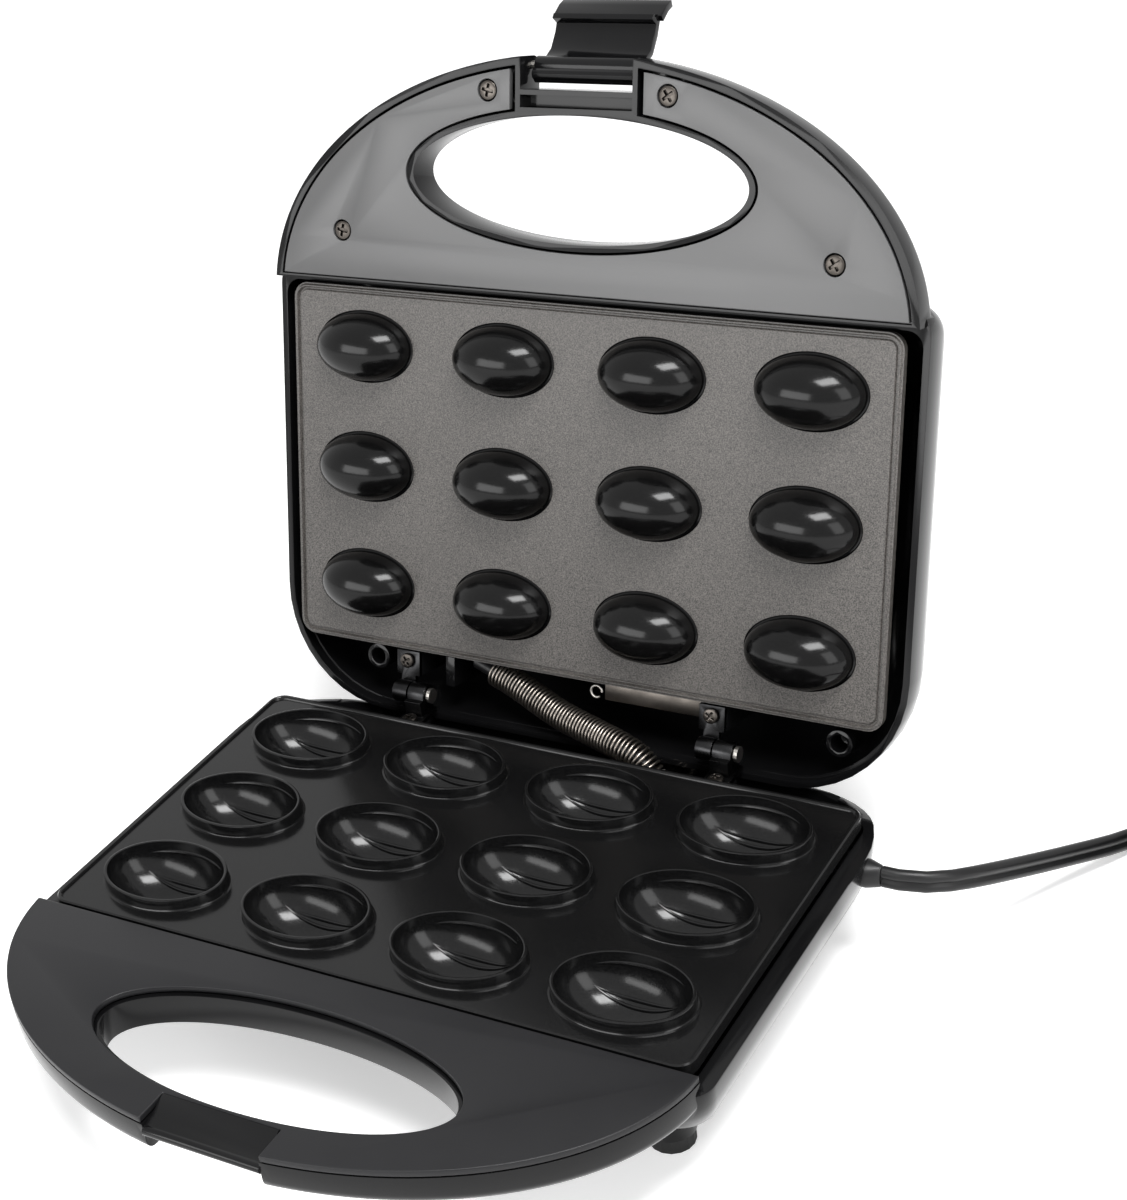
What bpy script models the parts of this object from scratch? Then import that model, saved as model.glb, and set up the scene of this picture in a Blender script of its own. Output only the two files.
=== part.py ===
"""Walnut cake maker: two hinged halves with twelve-cup baking plates, built open with the latch up.

The plate frame has its origin on the rim plane of the cups, at the middle of the lower plate:
+X to the right, +Y to the hinge, +Z up. Pieces of the lid are drawn closed and hang from an
empty on the hinge axis, which opens them. Everything is in metres.
"""

import math

import bmesh
import bpy
from mathutils import Matrix, Vector

# Cup pattern
COLUMNS = 4
ROWS = 3
COLUMN_PITCH = 0.0500
ROW_PITCH = 0.0384
CUP_RIM_HALF_LENGTH = 0.0203
CUP_RIM_HALF_WIDTH = 0.0143
CUP_SIDES = 16
CUP_TILTS_DEG = (34, 66)

# Clearances
GAP = 0.0003
PLATE_GAP = 0.0005
OVERRUN = 0.0020

# Lower baking plate
PLATE_SIDE_MARGIN = 0.0078
PLATE_FRONT_MARGIN = 0.0058
PLATE_REAR_MARGIN = 0.0073
PLATE_HALF_WIDTH = COLUMN_PITCH * (COLUMNS - 1) / 2 + CUP_RIM_HALF_LENGTH + PLATE_SIDE_MARGIN
PLATE_FRONT = ROW_PITCH * (ROWS - 1) / 2 + CUP_RIM_HALF_WIDTH + PLATE_FRONT_MARGIN
PLATE_REAR = ROW_PITCH * (ROWS - 1) / 2 + CUP_RIM_HALF_WIDTH + PLATE_REAR_MARGIN
PLATE_CORNER_RADIUS = 0.0050
PLATE_LIP_DROP = 0.0030
PLATE_LIP_WIDTH = 0.0015
PLATE_FIELD_SUNK = 0.0008
PLATE_THICKNESS = 0.0018
PLATE_SKIRT_DEPTH = 0.0060
PLATE_SKIRT_WALL = 0.0015
CUP_RIM_WALL = 0.0011
CUP_DEPTH = 0.0140
CUP_WALL = 0.0016

# Upper baking plate
UPPER_PLATE_SIDE_STEP = 0.0014
UPPER_PLATE_END_STEP = 0.0015
UPPER_PLATE_HALF_WIDTH = PLATE_HALF_WIDTH - UPPER_PLATE_SIDE_STEP
UPPER_PLATE_FRONT = PLATE_FRONT - UPPER_PLATE_END_STEP
UPPER_PLATE_REAR = PLATE_REAR - UPPER_PLATE_END_STEP
UPPER_PLATE_RISE = 0.0008
UPPER_BORDER_WIDTH = 0.0016
UPPER_BORDER_HEIGHT = 0.0005
BUMP_HALF_LENGTH = 0.0168
BUMP_HALF_WIDTH = 0.0106
BUMP_HEIGHT = 0.0115
BUMP_WALL = 0.0016

# Bosses and screws behind both plates
PLATE_BOSS_RADIUS = 0.0043
PLATE_BOSS_LENGTH = 0.0115
PLATE_SCREW_RADIUS = 0.0015
PLATE_SCREW_HEAD_RADIUS = 0.0029
PLATE_SCREW_HEAD_HEIGHT = 0.0020
PLATE_SCREW_BITE = 0.0070
SHIELD_THICKNESS = 0.0008
SHIELD_WALL_HEIGHT = 0.0045
SHIELD_INSET = 0.0085
SHIELD_CORNER_RADIUS = 0.0060

# Heating elements
ELEMENT_RADIUS = 0.0030
ELEMENT_BEND_RADIUS = 0.0100
ELEMENT_TERMINAL_INSET = 0.0131
ELEMENT_TERMINAL_X = PLATE_HALF_WIDTH - ELEMENT_TERMINAL_INSET

# Base tub
BASE_SIDE_MARGIN = 0.0059
BASE_FRONT_MARGIN = 0.0055
BASE_REAR_MARGIN = 0.0190
BASE_HALF_WIDTH = PLATE_HALF_WIDTH + BASE_SIDE_MARGIN
BASE_FRONT = PLATE_FRONT + BASE_FRONT_MARGIN
BASE_REAR = PLATE_REAR + BASE_REAR_MARGIN
BASE_RIM_DROP = 0.0080
BASE_FLOOR_DROP = 0.0370
BASE_SIDE_HEIGHT = 0.0008
BASE_FRONT_CORNER = 0.0080
BASE_REAR_CORNER = 0.0350
BASE_ROUNDING = 0.0280
SHELL_WALL = 0.0022
RIM_THICKNESS = 0.0020
WELL_SIDE_MARGIN = 0.0200
WELL_HALF_WIDTH = BASE_HALF_WIDTH - WELL_SIDE_MARGIN
REAR_SILL_HALF_WIDTH = BASE_HALF_WIDTH + OVERRUN

# Handles: both are half ellipses
HANDLE_SIDE_STEP = 0.0022
HANDLE_HALF_WIDTH = BASE_HALF_WIDTH - HANDLE_SIDE_STEP
HANDLE_CENTRE_INSET = 0.0035
HANDLE_CENTRE_Y = HANDLE_CENTRE_INSET - PLATE_FRONT
BASE_HANDLE_REACH = 0.0713
BASE_HANDLE_TOP_DROP = 0.0030
BASE_HANDLE_THICKNESS = 0.0115
BASE_HANDLE_END_GAP = 0.0010
BASE_HANDLE_END_Y = -(PLATE_FRONT + BASE_HANDLE_END_GAP)
LID_HANDLE_REACH = 0.0737
LID_HANDLE_FACE = -0.0020
LID_HANDLE_THICKNESS = 0.0115
LID_COVER_END_GAP = 0.0018
LID_COVER_END_Y = -(PLATE_FRONT + LID_COVER_END_GAP)
LID_HANDLE_END_Y = -(PLATE_FRONT + GAP)
HANDLE_CAVITY_END_Y = -(BASE_FRONT + SHELL_WALL)
HANDLE_STEPS = 20
HANDLE_EDGE_ROUNDING = 0.0035
COVER_THICKNESS = 0.0020
HAND_HOLE_OFFSET = 0.0381
HAND_HOLE_Y = HANDLE_CENTRE_Y - HAND_HOLE_OFFSET
BASE_HOLE_HALF_LENGTH = 0.0570
BASE_HOLE_HALF_WIDTH = 0.0210
BASE_HOLE_STEP = 0.0015
LID_HOLE_HALF_LENGTH = 0.0550
LID_HOLE_HALF_WIDTH = 0.0183
HOLE_WALL = 0.0019
HOLE_SIDES = 20
LID_GROOVE = 0.0008
LID_HANDLE_WALL = 0.0023

# Notch of the base handle with its catch bar
BASE_HANDLE_TIP_Y = HANDLE_CENTRE_Y - BASE_HANDLE_REACH
NOTCH_HALF_WIDTH = 0.0182
NOTCH_LENGTH = 0.0109
NOTCH_REAR_Y = BASE_HANDLE_TIP_Y + NOTCH_LENGTH
NOTCH_FRONT_INSET = 0.0025
NOTCH_FRONT_Y = BASE_HANDLE_TIP_Y + NOTCH_FRONT_INSET
NOTCH_FLOOR_FALL = 0.0034
CATCH_INSET = 0.0017
CATCH_Y = BASE_HANDLE_TIP_Y + CATCH_INSET
CATCH_DROP = 0.0077
CATCH_RADIUS = 0.0014
CATCH_RECESS_INSET = 0.0058
CATCH_RECESS_Y = BASE_HANDLE_TIP_Y + CATCH_RECESS_INSET
NOTCH_SIDE_WALL = 0.0020

# Lid opening
HINGE_REAR_INSET = 0.0069
HINGE_Y = BASE_REAR - HINGE_REAR_INSET
HINGE_Z = -0.0013
OPEN_ANGLE_DEG = 105.0

# Lid tub
LID_SIDE_STEP = 0.0008
LID_HALF_WIDTH = BASE_HALF_WIDTH - LID_SIDE_STEP
LID_FRONT = BASE_FRONT
LID_REAR_STEP = 0.0022
LID_REAR = BASE_REAR + LID_REAR_STEP
LID_RIM_RISE = 0.0030
LID_TOP_RISE = 0.0380
LID_SIDE_HEIGHT = 0.0060
LID_FRONT_CORNER = 0.0080
LID_REAR_CORNER = 0.0380
LID_ROUNDING = 0.0280

# Latch recess of the lid handle
LID_HANDLE_TIP_Y = HANDLE_CENTRE_Y - LID_HANDLE_REACH
RECESS_LENGTH = 0.0154
RECESS_REAR_Y = LID_HANDLE_TIP_Y + RECESS_LENGTH
RECESS_BLOCK_LENGTH = 0.0175
RECESS_BLOCK_REAR_Y = LID_HANDLE_TIP_Y + RECESS_BLOCK_LENGTH
RECESS_GROOVE = 0.0019
RECESS_BAR_FRONT_INSET = 0.0104
RECESS_BAR_FRONT_Y = LID_HANDLE_TIP_Y + RECESS_BAR_FRONT_INSET
RECESS_BAR_REAR_INSET = 0.0118
RECESS_BAR_REAR_Y = LID_HANDLE_TIP_Y + RECESS_BAR_REAR_INSET
RECESS_WALL = 0.0016
RECESS_POCKET_DEPTH = 0.0030

# Latch lever, open, in the closed lid's frame
LATCH_AXLE_INSET = 0.0037
LATCH_AXLE_Y = LID_HANDLE_TIP_Y + LATCH_AXLE_INSET
LATCH_AXLE_Z = 0.0055
LATCH_AXLE_RADIUS = 0.0012
LATCH_AXLE_BITE = 0.0009
LATCH_HALF_WIDTH = 0.0163
LATCH_TAB_HALF_WIDTH = 0.0176
LATCH_BARREL_RADIUS = 0.0026
LATCH_THICKNESS = 0.0020

# Hinges
HINGE_X = 0.0540
KNUCKLE_RADIUS = 0.0036
HINGE_PIN_RADIUS = 0.0015
HINGE_PIN_HEAD_RADIUS = 0.0025
HINGE_PIN_HEAD_LENGTH = 0.0012
BASE_KNUCKLE_WIDTH = 0.0060
LID_KNUCKLE_WIDTH = 0.0052
KNUCKLE_GAP = 0.0006
HINGE_LEAF_THICKNESS = 0.0015
HINGE_LEAF_WIDTH = 0.0084
BASE_PAD_FRONT_INSET = 0.0114
BASE_PAD_FRONT_Y = HINGE_Y - BASE_PAD_FRONT_INSET
BASE_PAD_REAR_INSET = 0.0031
BASE_PAD_REAR_Y = HINGE_Y - BASE_PAD_REAR_INSET
BASE_PAD_DROP = 0.0080
LID_PAD_FRONT_INSET = 0.0129
LID_PAD_FRONT_Y = HINGE_Y - LID_PAD_FRONT_INSET
LID_PAD_REAR_INSET = 0.0049
LID_PAD_REAR_Y = HINGE_Y - LID_PAD_REAR_INSET
LID_PAD_RISE = 0.0011
HINGE_SCREW_INSET = 0.0031
HINGE_SCREW_RADIUS = 0.0013
HINGE_SCREW_HEAD_RADIUS = 0.0024
HINGE_SCREW_HEAD_HEIGHT = 0.0012
HINGE_SCREW_LENGTH = 0.0070

# Handle cover screws
COVER_SCREW_INNER_X = 0.0292
COVER_SCREW_INNER_INSET = 0.0109
COVER_SCREW_INNER_Y = LID_HANDLE_TIP_Y + COVER_SCREW_INNER_INSET
COVER_SCREW_OUTER_INSET = 0.0256
COVER_SCREW_OUTER_X = HANDLE_HALF_WIDTH - COVER_SCREW_OUTER_INSET
COVER_SCREW_OUTER_OFFSET = 0.0194
COVER_SCREW_OUTER_Y = HANDLE_CENTRE_Y - COVER_SCREW_OUTER_OFFSET
BASE_SCREW_INNER_INSET = 0.0103
BASE_SCREW_INNER_Y = BASE_HANDLE_TIP_Y + BASE_SCREW_INNER_INSET
COVER_SCREW_HEAD_RADIUS = 0.0029
COVER_SCREW_HEAD_HEIGHT = 0.0014
COVER_SCREW_RADIUS = 0.0014
COVER_SCREW_LENGTH = 0.0058
COVER_BOSS_RADIUS = 0.0040

# Feet
FOOT_RADIUS = 0.0065
FOOT_HEIGHT = 0.0042
FOOT_SIDE_INSET = 0.0210
FOOT_X = BASE_HALF_WIDTH - FOOT_SIDE_INSET
FOOT_FRONT_INSET = 0.0200
FOOT_FRONT_Y = FOOT_FRONT_INSET - BASE_FRONT
FOOT_REAR_INSET = 0.0190
FOOT_REAR_Y = BASE_REAR - FOOT_REAR_INSET
FOOT_REAR_SIDE_INSET = 0.0310
FOOT_REAR_X = BASE_HALF_WIDTH - FOOT_REAR_SIDE_INSET
FOOT_SEAT_DROP = 0.0385

# Electrical pieces in the base
THERMOSTAT_RADIUS = 0.0080
THERMOSTAT_HEIGHT = 0.0080
FUSE_RADIUS = 0.0020
FUSE_LENGTH = 0.0200
TERMINAL_LENGTH = 0.0240
TERMINAL_WIDTH = 0.0100
TERMINAL_HEIGHT = 0.0090
TERMINAL_X = 0.0640
TERMINAL_Y = 0.0380
INNER_LEAD_RADIUS = 0.0012
INNER_LEAD_SPACING = 0.0032
LAMP_RADIUS = 0.0040
LAMP_LENGTH = 0.0090
LAMP_PROUD = 0.0012
LAMP_SPACING = 0.0150
LAMP_Y = -0.0150

# Conduit between the halves
CONDUIT_RADIUS = 0.00425
CONDUIT_WIRE_RADIUS = 0.00035
CONDUIT_CURLS = 26
CONDUIT_CURL_POINTS = 8
CONDUIT_CORE_RADIUS = 0.0026
CONDUIT_CORE_TAIL = 0.0080
CONDUIT_ROUTE_FROM_HINGE = [
    (-0.0310, 0.0114, 0.0058),
    (-0.0220, 0.0094, 0.0035),
    (-0.0060, 0.0049, -0.0011),
    (0.0090, 0.0009, -0.0030),
    (0.0190, -0.0021, -0.0039),
    (0.0262, -0.0038, -0.0062),
    (0.0305, -0.0053, -0.0105),
    (0.0318, -0.0065, -0.0159),
]
CONDUIT_ROUTE = [(x, HINGE_Y + y, HINGE_Z + z) for x, y, z in CONDUIT_ROUTE_FROM_HINGE]

# Power cord: a flat twin lead on its edge, drawn as a round tube of its width
CORD_RADIUS = 0.0034
CORD_EXIT_INSET = 0.0335
CORD_EXIT_Y = BASE_REAR - CORD_EXIT_INSET
CORD_EXIT_DROP = 0.0140
CORD_POINT_STEP = 0.0150
BUSHING_PROUD = 0.0040
BUSHING_LENGTH = 0.0125
BUSHING_RADIUS = 0.0042
BUSHING_TIP_RADIUS = 0.0038
BUSHING_FLANGE_RADIUS = 0.0049
BUSHING_FLANGE_INSET = 0.0058
BUSHING_FLANGE_LENGTH = 0.0020
CORD_ROUTE_FROM_WALL = [
    (0.0043, 0.0000, 0.0000),
    (0.0090, 0.0001, -0.0001),
    (0.0160, 0.0022, -0.0006),
    (0.0218, 0.0071, -0.0020),
    (0.0267, 0.0150, -0.0047),
    (0.0325, 0.0285, -0.0100),
    (0.0415, 0.0485, -0.0172),
    (0.0528, 0.0705, -0.0235),
]
CORD_ROUTE = [
    (BASE_HALF_WIDTH + x, CORD_EXIT_Y + y, z - CORD_EXIT_DROP) for x, y, z in CORD_ROUTE_FROM_WALL
]
COIL_SIDE_OFFSET = 0.1027
COIL_CENTRE_X = BASE_HALF_WIDTH + COIL_SIDE_OFFSET
COIL_REAR_OFFSET = 0.0750
COIL_CENTRE_Y = CORD_EXIT_Y + COIL_REAR_OFFSET
COIL_MIDDLE_RADIUS = 0.0360
COIL_SPACING = 0.0006
COIL_HALF_TURNS = 1.5
COIL_POINTS = 24
COIL_START_DEG = 150.0
CORD_TAIL_DEG = 110.0
TIE_ANGLE_DEG = 225.0
TIE_WIDTH = 0.0060
TIE_WALL = 0.0008
TIE_CLEARANCE = 0.0004
PLUG_LENGTH = 0.0350
PLUG_WIDTH = 0.0340
PLUG_HEIGHT = 0.0137
PLUG_NECK_WIDTH = 0.0120
PLUG_NECK_SHARE = 0.35
PLUG_BODY_SHARE = 0.62
PLUG_EDGE_ROUNDING = 0.0020
PLUG_PIN_LENGTH = 0.0190
PLUG_PIN_RADIUS = 0.0020
PLUG_PIN_SPACING = 0.0186
PLUG_PIN_BITE = 0.0060

# Places that follow from the sizes
OPEN_ANGLE = math.radians(OPEN_ANGLE_DEG)
FOOT_BOTTOM = -FOOT_SEAT_DROP - GAP - FOOT_HEIGHT
CUP_XS = [(i - (COLUMNS - 1) / 2) * COLUMN_PITCH for i in range(COLUMNS)]
CUP_YS = [(i - (ROWS - 1) / 2) * ROW_PITCH for i in range(ROWS)]
FIELD_Z = -PLATE_LIP_DROP - PLATE_FIELD_SUNK
FIELD_UNDER = FIELD_Z - PLATE_THICKNESS
UPPER_FACE = UPPER_PLATE_RISE
UPPER_BACK = UPPER_FACE + PLATE_THICKNESS
BASE_RIM = -BASE_RIM_DROP
BASE_FLOOR = -BASE_FLOOR_DROP
LID_RIM = LID_RIM_RISE
LID_TOP = LID_TOP_RISE
BASE_HANDLE_TOP = -BASE_HANDLE_TOP_DROP
BASE_HANDLE_DECK = BASE_HANDLE_TOP - COVER_THICKNESS - GAP
BASE_HANDLE_BOTTOM = BASE_HANDLE_TOP - BASE_HANDLE_THICKNESS
LID_HANDLE_BACK = LID_HANDLE_FACE + LID_HANDLE_THICKNESS
LID_COVER_BACK = LID_HANDLE_FACE + COVER_THICKNESS
SHIELD_TOP = FIELD_UNDER - PLATE_BOSS_LENGTH - GAP
UPPER_SHIELD_BOTTOM = UPPER_BACK + PLATE_BOSS_LENGTH + GAP
PLATE_SCREW_XS = (-COLUMN_PITCH, COLUMN_PITCH)
BASE_KNUCKLE_X = {"left": -HINGE_X, "right": HINGE_X}
LID_KNUCKLE_SHIFT = -(BASE_KNUCKLE_WIDTH + LID_KNUCKLE_WIDTH) / 2 - KNUCKLE_GAP


# Empties that carry the halves

def new_empty(name, place, parent=None):
    """Make an empty at a place of its parent's frame."""
    empty = bpy.data.objects.new(name, None)
    empty.empty_display_size = COLUMN_PITCH
    bpy.context.scene.collection.objects.link(empty)
    empty.parent = parent
    empty.location = place
    return empty


def clear_scene():
    """Remove what the scene holds."""
    for obj in list(bpy.data.objects):
        bpy.data.objects.remove(obj, do_unlink=True)


clear_scene()
collection = bpy.data.collections.new("walnut_cake_maker")
bpy.context.scene.collection.children.link(collection)
base_frame = new_empty("base_frame", (0, 0, 0))
lid_axis = new_empty("lid_hinge_axis", (0, HINGE_Y, HINGE_Z), base_frame)
lid_axis.rotation_euler.x = -OPEN_ANGLE
latch_axis = new_empty(
    "latch_hinge_axis", (0, LATCH_AXLE_Y - HINGE_Y, LATCH_AXLE_Z - HINGE_Z), lid_axis
)
FRAME_ORIGINS = {
    base_frame: Vector((0, 0, 0)),
    lid_axis: Vector((0, HINGE_Y, HINGE_Z)),
    latch_axis: Vector((0, LATCH_AXLE_Y, LATCH_AXLE_Z)),
}


# Materials

def make_material(name, colour, roughness, metallic):
    """Make a Principled material."""
    material = bpy.data.materials.new(name)
    material.use_nodes = True
    shader = material.node_tree.nodes["Principled BSDF"]
    shader.inputs["Base Color"].default_value = (*colour, 1)
    shader.inputs["Roughness"].default_value = roughness
    shader.inputs["Metallic"].default_value = metallic
    return material


MATERIALS = {
    "gloss_black": make_material("gloss_black", (0.012, 0.012, 0.013), 0.12, 0),
    "satin_black": make_material("satin_black", (0.030, 0.030, 0.032), 0.38, 0),
    "coating_black": make_material("coating_black", (0.018, 0.018, 0.018), 0.40, 0),
    "coating_grey": make_material("coating_grey", (0.060, 0.056, 0.053), 0.42, 0),
    "bright_steel": make_material("bright_steel", (0.55, 0.54, 0.52), 0.28, 1),
    "dark_screw": make_material("dark_screw", (0.045, 0.045, 0.045), 0.30, 1),
    "element_steel": make_material("element_steel", (0.30, 0.29, 0.27), 0.45, 1),
    "foot_rubber": make_material("foot_rubber", (0.020, 0.020, 0.020), 0.80, 0),
    "cord_black": make_material("cord_black", (0.018, 0.018, 0.018), 0.45, 0),
    "ceramic": make_material("ceramic", (0.75, 0.72, 0.66), 0.60, 0),
    "lamp_red": make_material("lamp_red", (0.45, 0.02, 0.01), 0.15, 0),
    "lamp_green": make_material("lamp_green", (0.02, 0.30, 0.05), 0.15, 0),
}


# Mesh helpers

def solid(mesh_object):
    """Read an object as its modifiers leave it into a fresh bmesh."""
    bpy.context.view_layer.update()
    graph = bpy.context.evaluated_depsgraph_get()
    bm = bmesh.new()
    bm.from_mesh(mesh_object.evaluated_get(graph).to_mesh())
    return bm


def body_from(bm, name="scratch"):
    """Turn a bmesh into an object that stands in no collection but the scene's."""
    bmesh.ops.recalc_face_normals(bm, faces=bm.faces)
    mesh = bpy.data.meshes.new(name)
    bm.to_mesh(mesh)
    bm.free()
    obj = bpy.data.objects.new(name, mesh)
    bpy.context.scene.collection.objects.link(obj)
    return obj


def loft(rings):
    """Close a stack of like outlines into a solid."""
    bm = bmesh.new()
    loops = [[bm.verts.new(point) for point in ring] for ring in rings]
    count = len(loops[0])
    for low, high in zip(loops, loops[1:]):
        for i in range(count):
            j = (i + 1) % count
            bm.faces.new((low[i], low[j], high[j], high[i]))
    bm.faces.new(loops[0])
    bm.faces.new(loops[-1])
    return body_from(bm)


def prism(outline, low, high):
    """Stand a flat outline up between two levels."""
    return loft([[(x, y, z) for x, y in outline] for z in (low, high)])


def side_prism(outline, half_width, centre=0):
    """Carry a (y, z) outline across X."""
    return loft([[(x, y, z) for y, z in outline] for x in (centre - half_width, centre + half_width)])


def box(xs, ys, zs):
    """Make a box between pairs of coordinates."""
    bm = bmesh.new()
    bmesh.ops.create_cube(bm, size=1)
    size = [abs(b - a) for a, b in (xs, ys, zs)]
    middle = [(a + b) / 2 for a, b in (xs, ys, zs)]
    bmesh.ops.scale(bm, vec=size, verts=bm.verts)
    bmesh.ops.translate(bm, vec=middle, verts=bm.verts)
    return body_from(bm)


def rod(radius, start, end, sides=16, end_radius=None):
    """Make a cylinder or cone between two points."""
    start = Vector(start)
    end = Vector(end)
    run = end - start
    bm = bmesh.new()
    bmesh.ops.create_cone(
        bm, cap_ends=True, segments=sides, radius1=radius,
        radius2=radius if end_radius is None else end_radius, depth=run.length,
    )
    turn = run.to_track_quat("Z", "Y").to_matrix().to_4x4()
    bmesh.ops.transform(bm, matrix=Matrix.Translation((start + end) / 2) @ turn, verts=bm.verts)
    return body_from(bm)


def tube(points, radius, resolution=1):
    """Sweep a round section along points and cap both ends."""
    curve = bpy.data.curves.new("route", "CURVE")
    curve.dimensions = "3D"
    curve.bevel_depth = radius
    curve.bevel_resolution = resolution
    curve.use_fill_caps = True
    spline = curve.splines.new("POLY")
    spline.points.add(len(points) - 1)
    for point, place in zip(spline.points, points):
        point.co = (*place, 1)
    route = bpy.data.objects.new("route", curve)
    bpy.context.scene.collection.objects.link(route)
    bm = solid(route)
    bmesh.ops.remove_doubles(bm, verts=bm.verts, dist=radius / 1000)
    bpy.data.objects.remove(route, do_unlink=True)
    return body_from(bm)


def combine(body, tools, operation):
    """Apply one Boolean operation with each tool in turn, and use the tools up."""
    for tool in tools:
        step = body.modifiers.new("step", "BOOLEAN")
        step.operation = operation
        step.solver = "EXACT"
        step.object = tool
        bm = solid(body)
        body.modifiers.clear()
        bm.to_mesh(body.data)
        bm.free()
        bpy.data.objects.remove(tool, do_unlink=True)
    return body


def cut(body, *tools):
    """Take the tools out of a body."""
    return combine(body, tools, "DIFFERENCE")


def join(body, *tools):
    """Unite a body with the tools."""
    return combine(body, tools, "UNION")


def clean(body):
    """Merge what a Boolean leaves closer than a hair and drop flat slivers."""
    bm = bmesh.new()
    bm.from_mesh(body.data)
    bmesh.ops.remove_doubles(bm, verts=bm.verts, dist=GAP / 60)
    bmesh.ops.dissolve_degenerate(bm, dist=GAP / 60, edges=bm.edges)
    bmesh.ops.recalc_face_normals(bm, faces=bm.faces)
    bm.to_mesh(body.data)
    bm.free()
    return body


def round_edges(body, width, segments=2, angle=math.radians(50)):
    """Round the sharp edges of a body."""
    bevel = body.modifiers.new("rounding", "BEVEL")
    bevel.width = width
    bevel.segments = segments
    bevel.limit_method = "ANGLE"
    bevel.angle_limit = angle
    bm = solid(body)
    body.modifiers.clear()
    bm.to_mesh(body.data)
    bm.free()
    return body


def piece(name, body, material, frame=None):
    """Give a finished body its name, material and frame."""
    frame = frame or base_frame
    clean(body)
    body.name = name
    body.data.name = name
    body.data.transform(Matrix.Translation(-FRAME_ORIGINS[frame]))
    body.parent = frame
    body.data.materials.clear()
    body.data.materials.append(MATERIALS[material])
    body.data.shade_smooth()
    body.data.set_sharp_from_angle(angle=math.radians(35))
    bpy.context.scene.collection.objects.unlink(body)
    collection.objects.link(body)
    return body


# Outlines

def ellipse(centre_x, centre_y, half_length, half_width, sides):
    """Return the points of an ellipse."""
    return [
        (
            centre_x + half_length * math.cos(2 * math.pi * i / sides),
            centre_y + half_width * math.sin(2 * math.pi * i / sides),
        )
        for i in range(sides)
    ]


def rounded_frame(half_width, front, rear, front_radius, rear_radius, steps=4):
    """Return a rectangle from y = front to y = rear with rounded corners."""
    corners = [
        (half_width - rear_radius, rear - rear_radius, rear_radius, 0),
        (-half_width + rear_radius, rear - rear_radius, rear_radius, 1),
        (-half_width + front_radius, front + front_radius, front_radius, 2),
        (half_width - front_radius, front + front_radius, front_radius, 3),
    ]
    outline = []
    for x, y, radius, quarter in corners:
        for i in range(steps + 1):
            angle = math.pi / 2 * (quarter + i / steps)
            outline.append((x + radius * math.cos(angle), y + radius * math.sin(angle)))
    return outline


def half_ellipse(half_width, reach, end_y, inset=0, steps=HANDLE_STEPS):
    """Return a handle's outline, from its straight rear edge round the front."""
    long = half_width - inset
    deep = reach - inset
    share = (end_y - HANDLE_CENTRE_Y) / -deep
    start = math.asin(max(min(share, 1), -1))
    outline = []
    for i in range(steps + 1):
        angle = math.pi + start + (math.pi - 2 * start) * i / steps
        outline.append((long * math.cos(angle), HANDLE_CENTRE_Y + deep * math.sin(angle)))
    return outline


def smooth_route(points, step):
    """Read evenly spaced points from a smooth curve through the given ones."""
    points = [Vector(p) for p in points]
    padded = [2 * points[0] - points[1]] + points + [2 * points[-1] - points[-2]]
    fine = []
    for a, b, c, d in zip(padded, padded[1:], padded[2:], padded[3:]):
        for i in range(20):
            t = i / 20
            fine.append(
                (2 * b + (c - a) * t + (2 * a - 5 * b + 4 * c - d) * t * t
                 + (3 * b - a - 3 * c + d) * t ** 3) / 2
            )
    fine.append(points[-1])
    lengths = [0]
    for a, b in zip(fine, fine[1:]):
        lengths.append(lengths[-1] + (b - a).length)
    count = max(round(lengths[-1] / step), 2)
    route = []
    place = 0
    for i in range(count + 1):
        want = lengths[-1] * i / count
        while place < len(fine) - 2 and lengths[place + 1] < want:
            place += 1
        span = lengths[place + 1] - lengths[place]
        share = (want - lengths[place]) / span if span else 0
        route.append(fine[place].lerp(fine[place + 1], share))
    return route


# Baking plates

def plate_slab(half_width, front, rear, face, direction):
    """Make a plate's slab with its skirt; direction points from the face to the back."""
    outline = rounded_frame(half_width, -front, rear, PLATE_CORNER_RADIUS, PLATE_CORNER_RADIUS, 4)
    inner = rounded_frame(
        half_width - PLATE_SKIRT_WALL, PLATE_SKIRT_WALL - front, rear - PLATE_SKIRT_WALL,
        PLATE_CORNER_RADIUS - PLATE_SKIRT_WALL, PLATE_CORNER_RADIUS - PLATE_SKIRT_WALL, 4,
    )
    slab = prism(outline, face, face + direction * PLATE_SKIRT_DEPTH)
    back = face + direction * PLATE_THICKNESS
    return cut(slab, prism(inner, back, face + direction * (PLATE_SKIRT_DEPTH + OVERRUN)))


def pattern_of_bowls(rings):
    """Repeat a stack of (half length, half width, level) ellipses at every cup."""
    bodies = []
    for x in CUP_XS:
        for y in CUP_YS:
            bodies.append(loft([
                [(px, py, z) for px, py in ellipse(x, y, a, b, CUP_SIDES)] for a, b, z in rings
            ]))
    bm = bmesh.new()
    for body in bodies:
        bm.from_mesh(body.data)
        bpy.data.objects.remove(body, do_unlink=True)
    return body_from(bm)


def bowl_rings(half_length, half_width, depth, grow):
    """Return the rings of a bowl that hangs below the zero level, grown by a wall."""
    rings = []
    for tilt in CUP_TILTS_DEG:
        angle = math.radians(tilt)
        rings.append((
            half_length * math.cos(angle) + grow,
            half_width * math.cos(angle) + grow,
            -depth * math.sin(angle) - grow * math.sin(angle),
        ))
    return rings


def plate_boss(x, back, direction):
    """Make the boss behind a plate that takes its screw."""
    return rod(
        PLATE_BOSS_RADIUS, (x, 0, back - direction * PLATE_THICKNESS / 2),
        (x, 0, back + direction * PLATE_BOSS_LENGTH), 14,
    )


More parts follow.
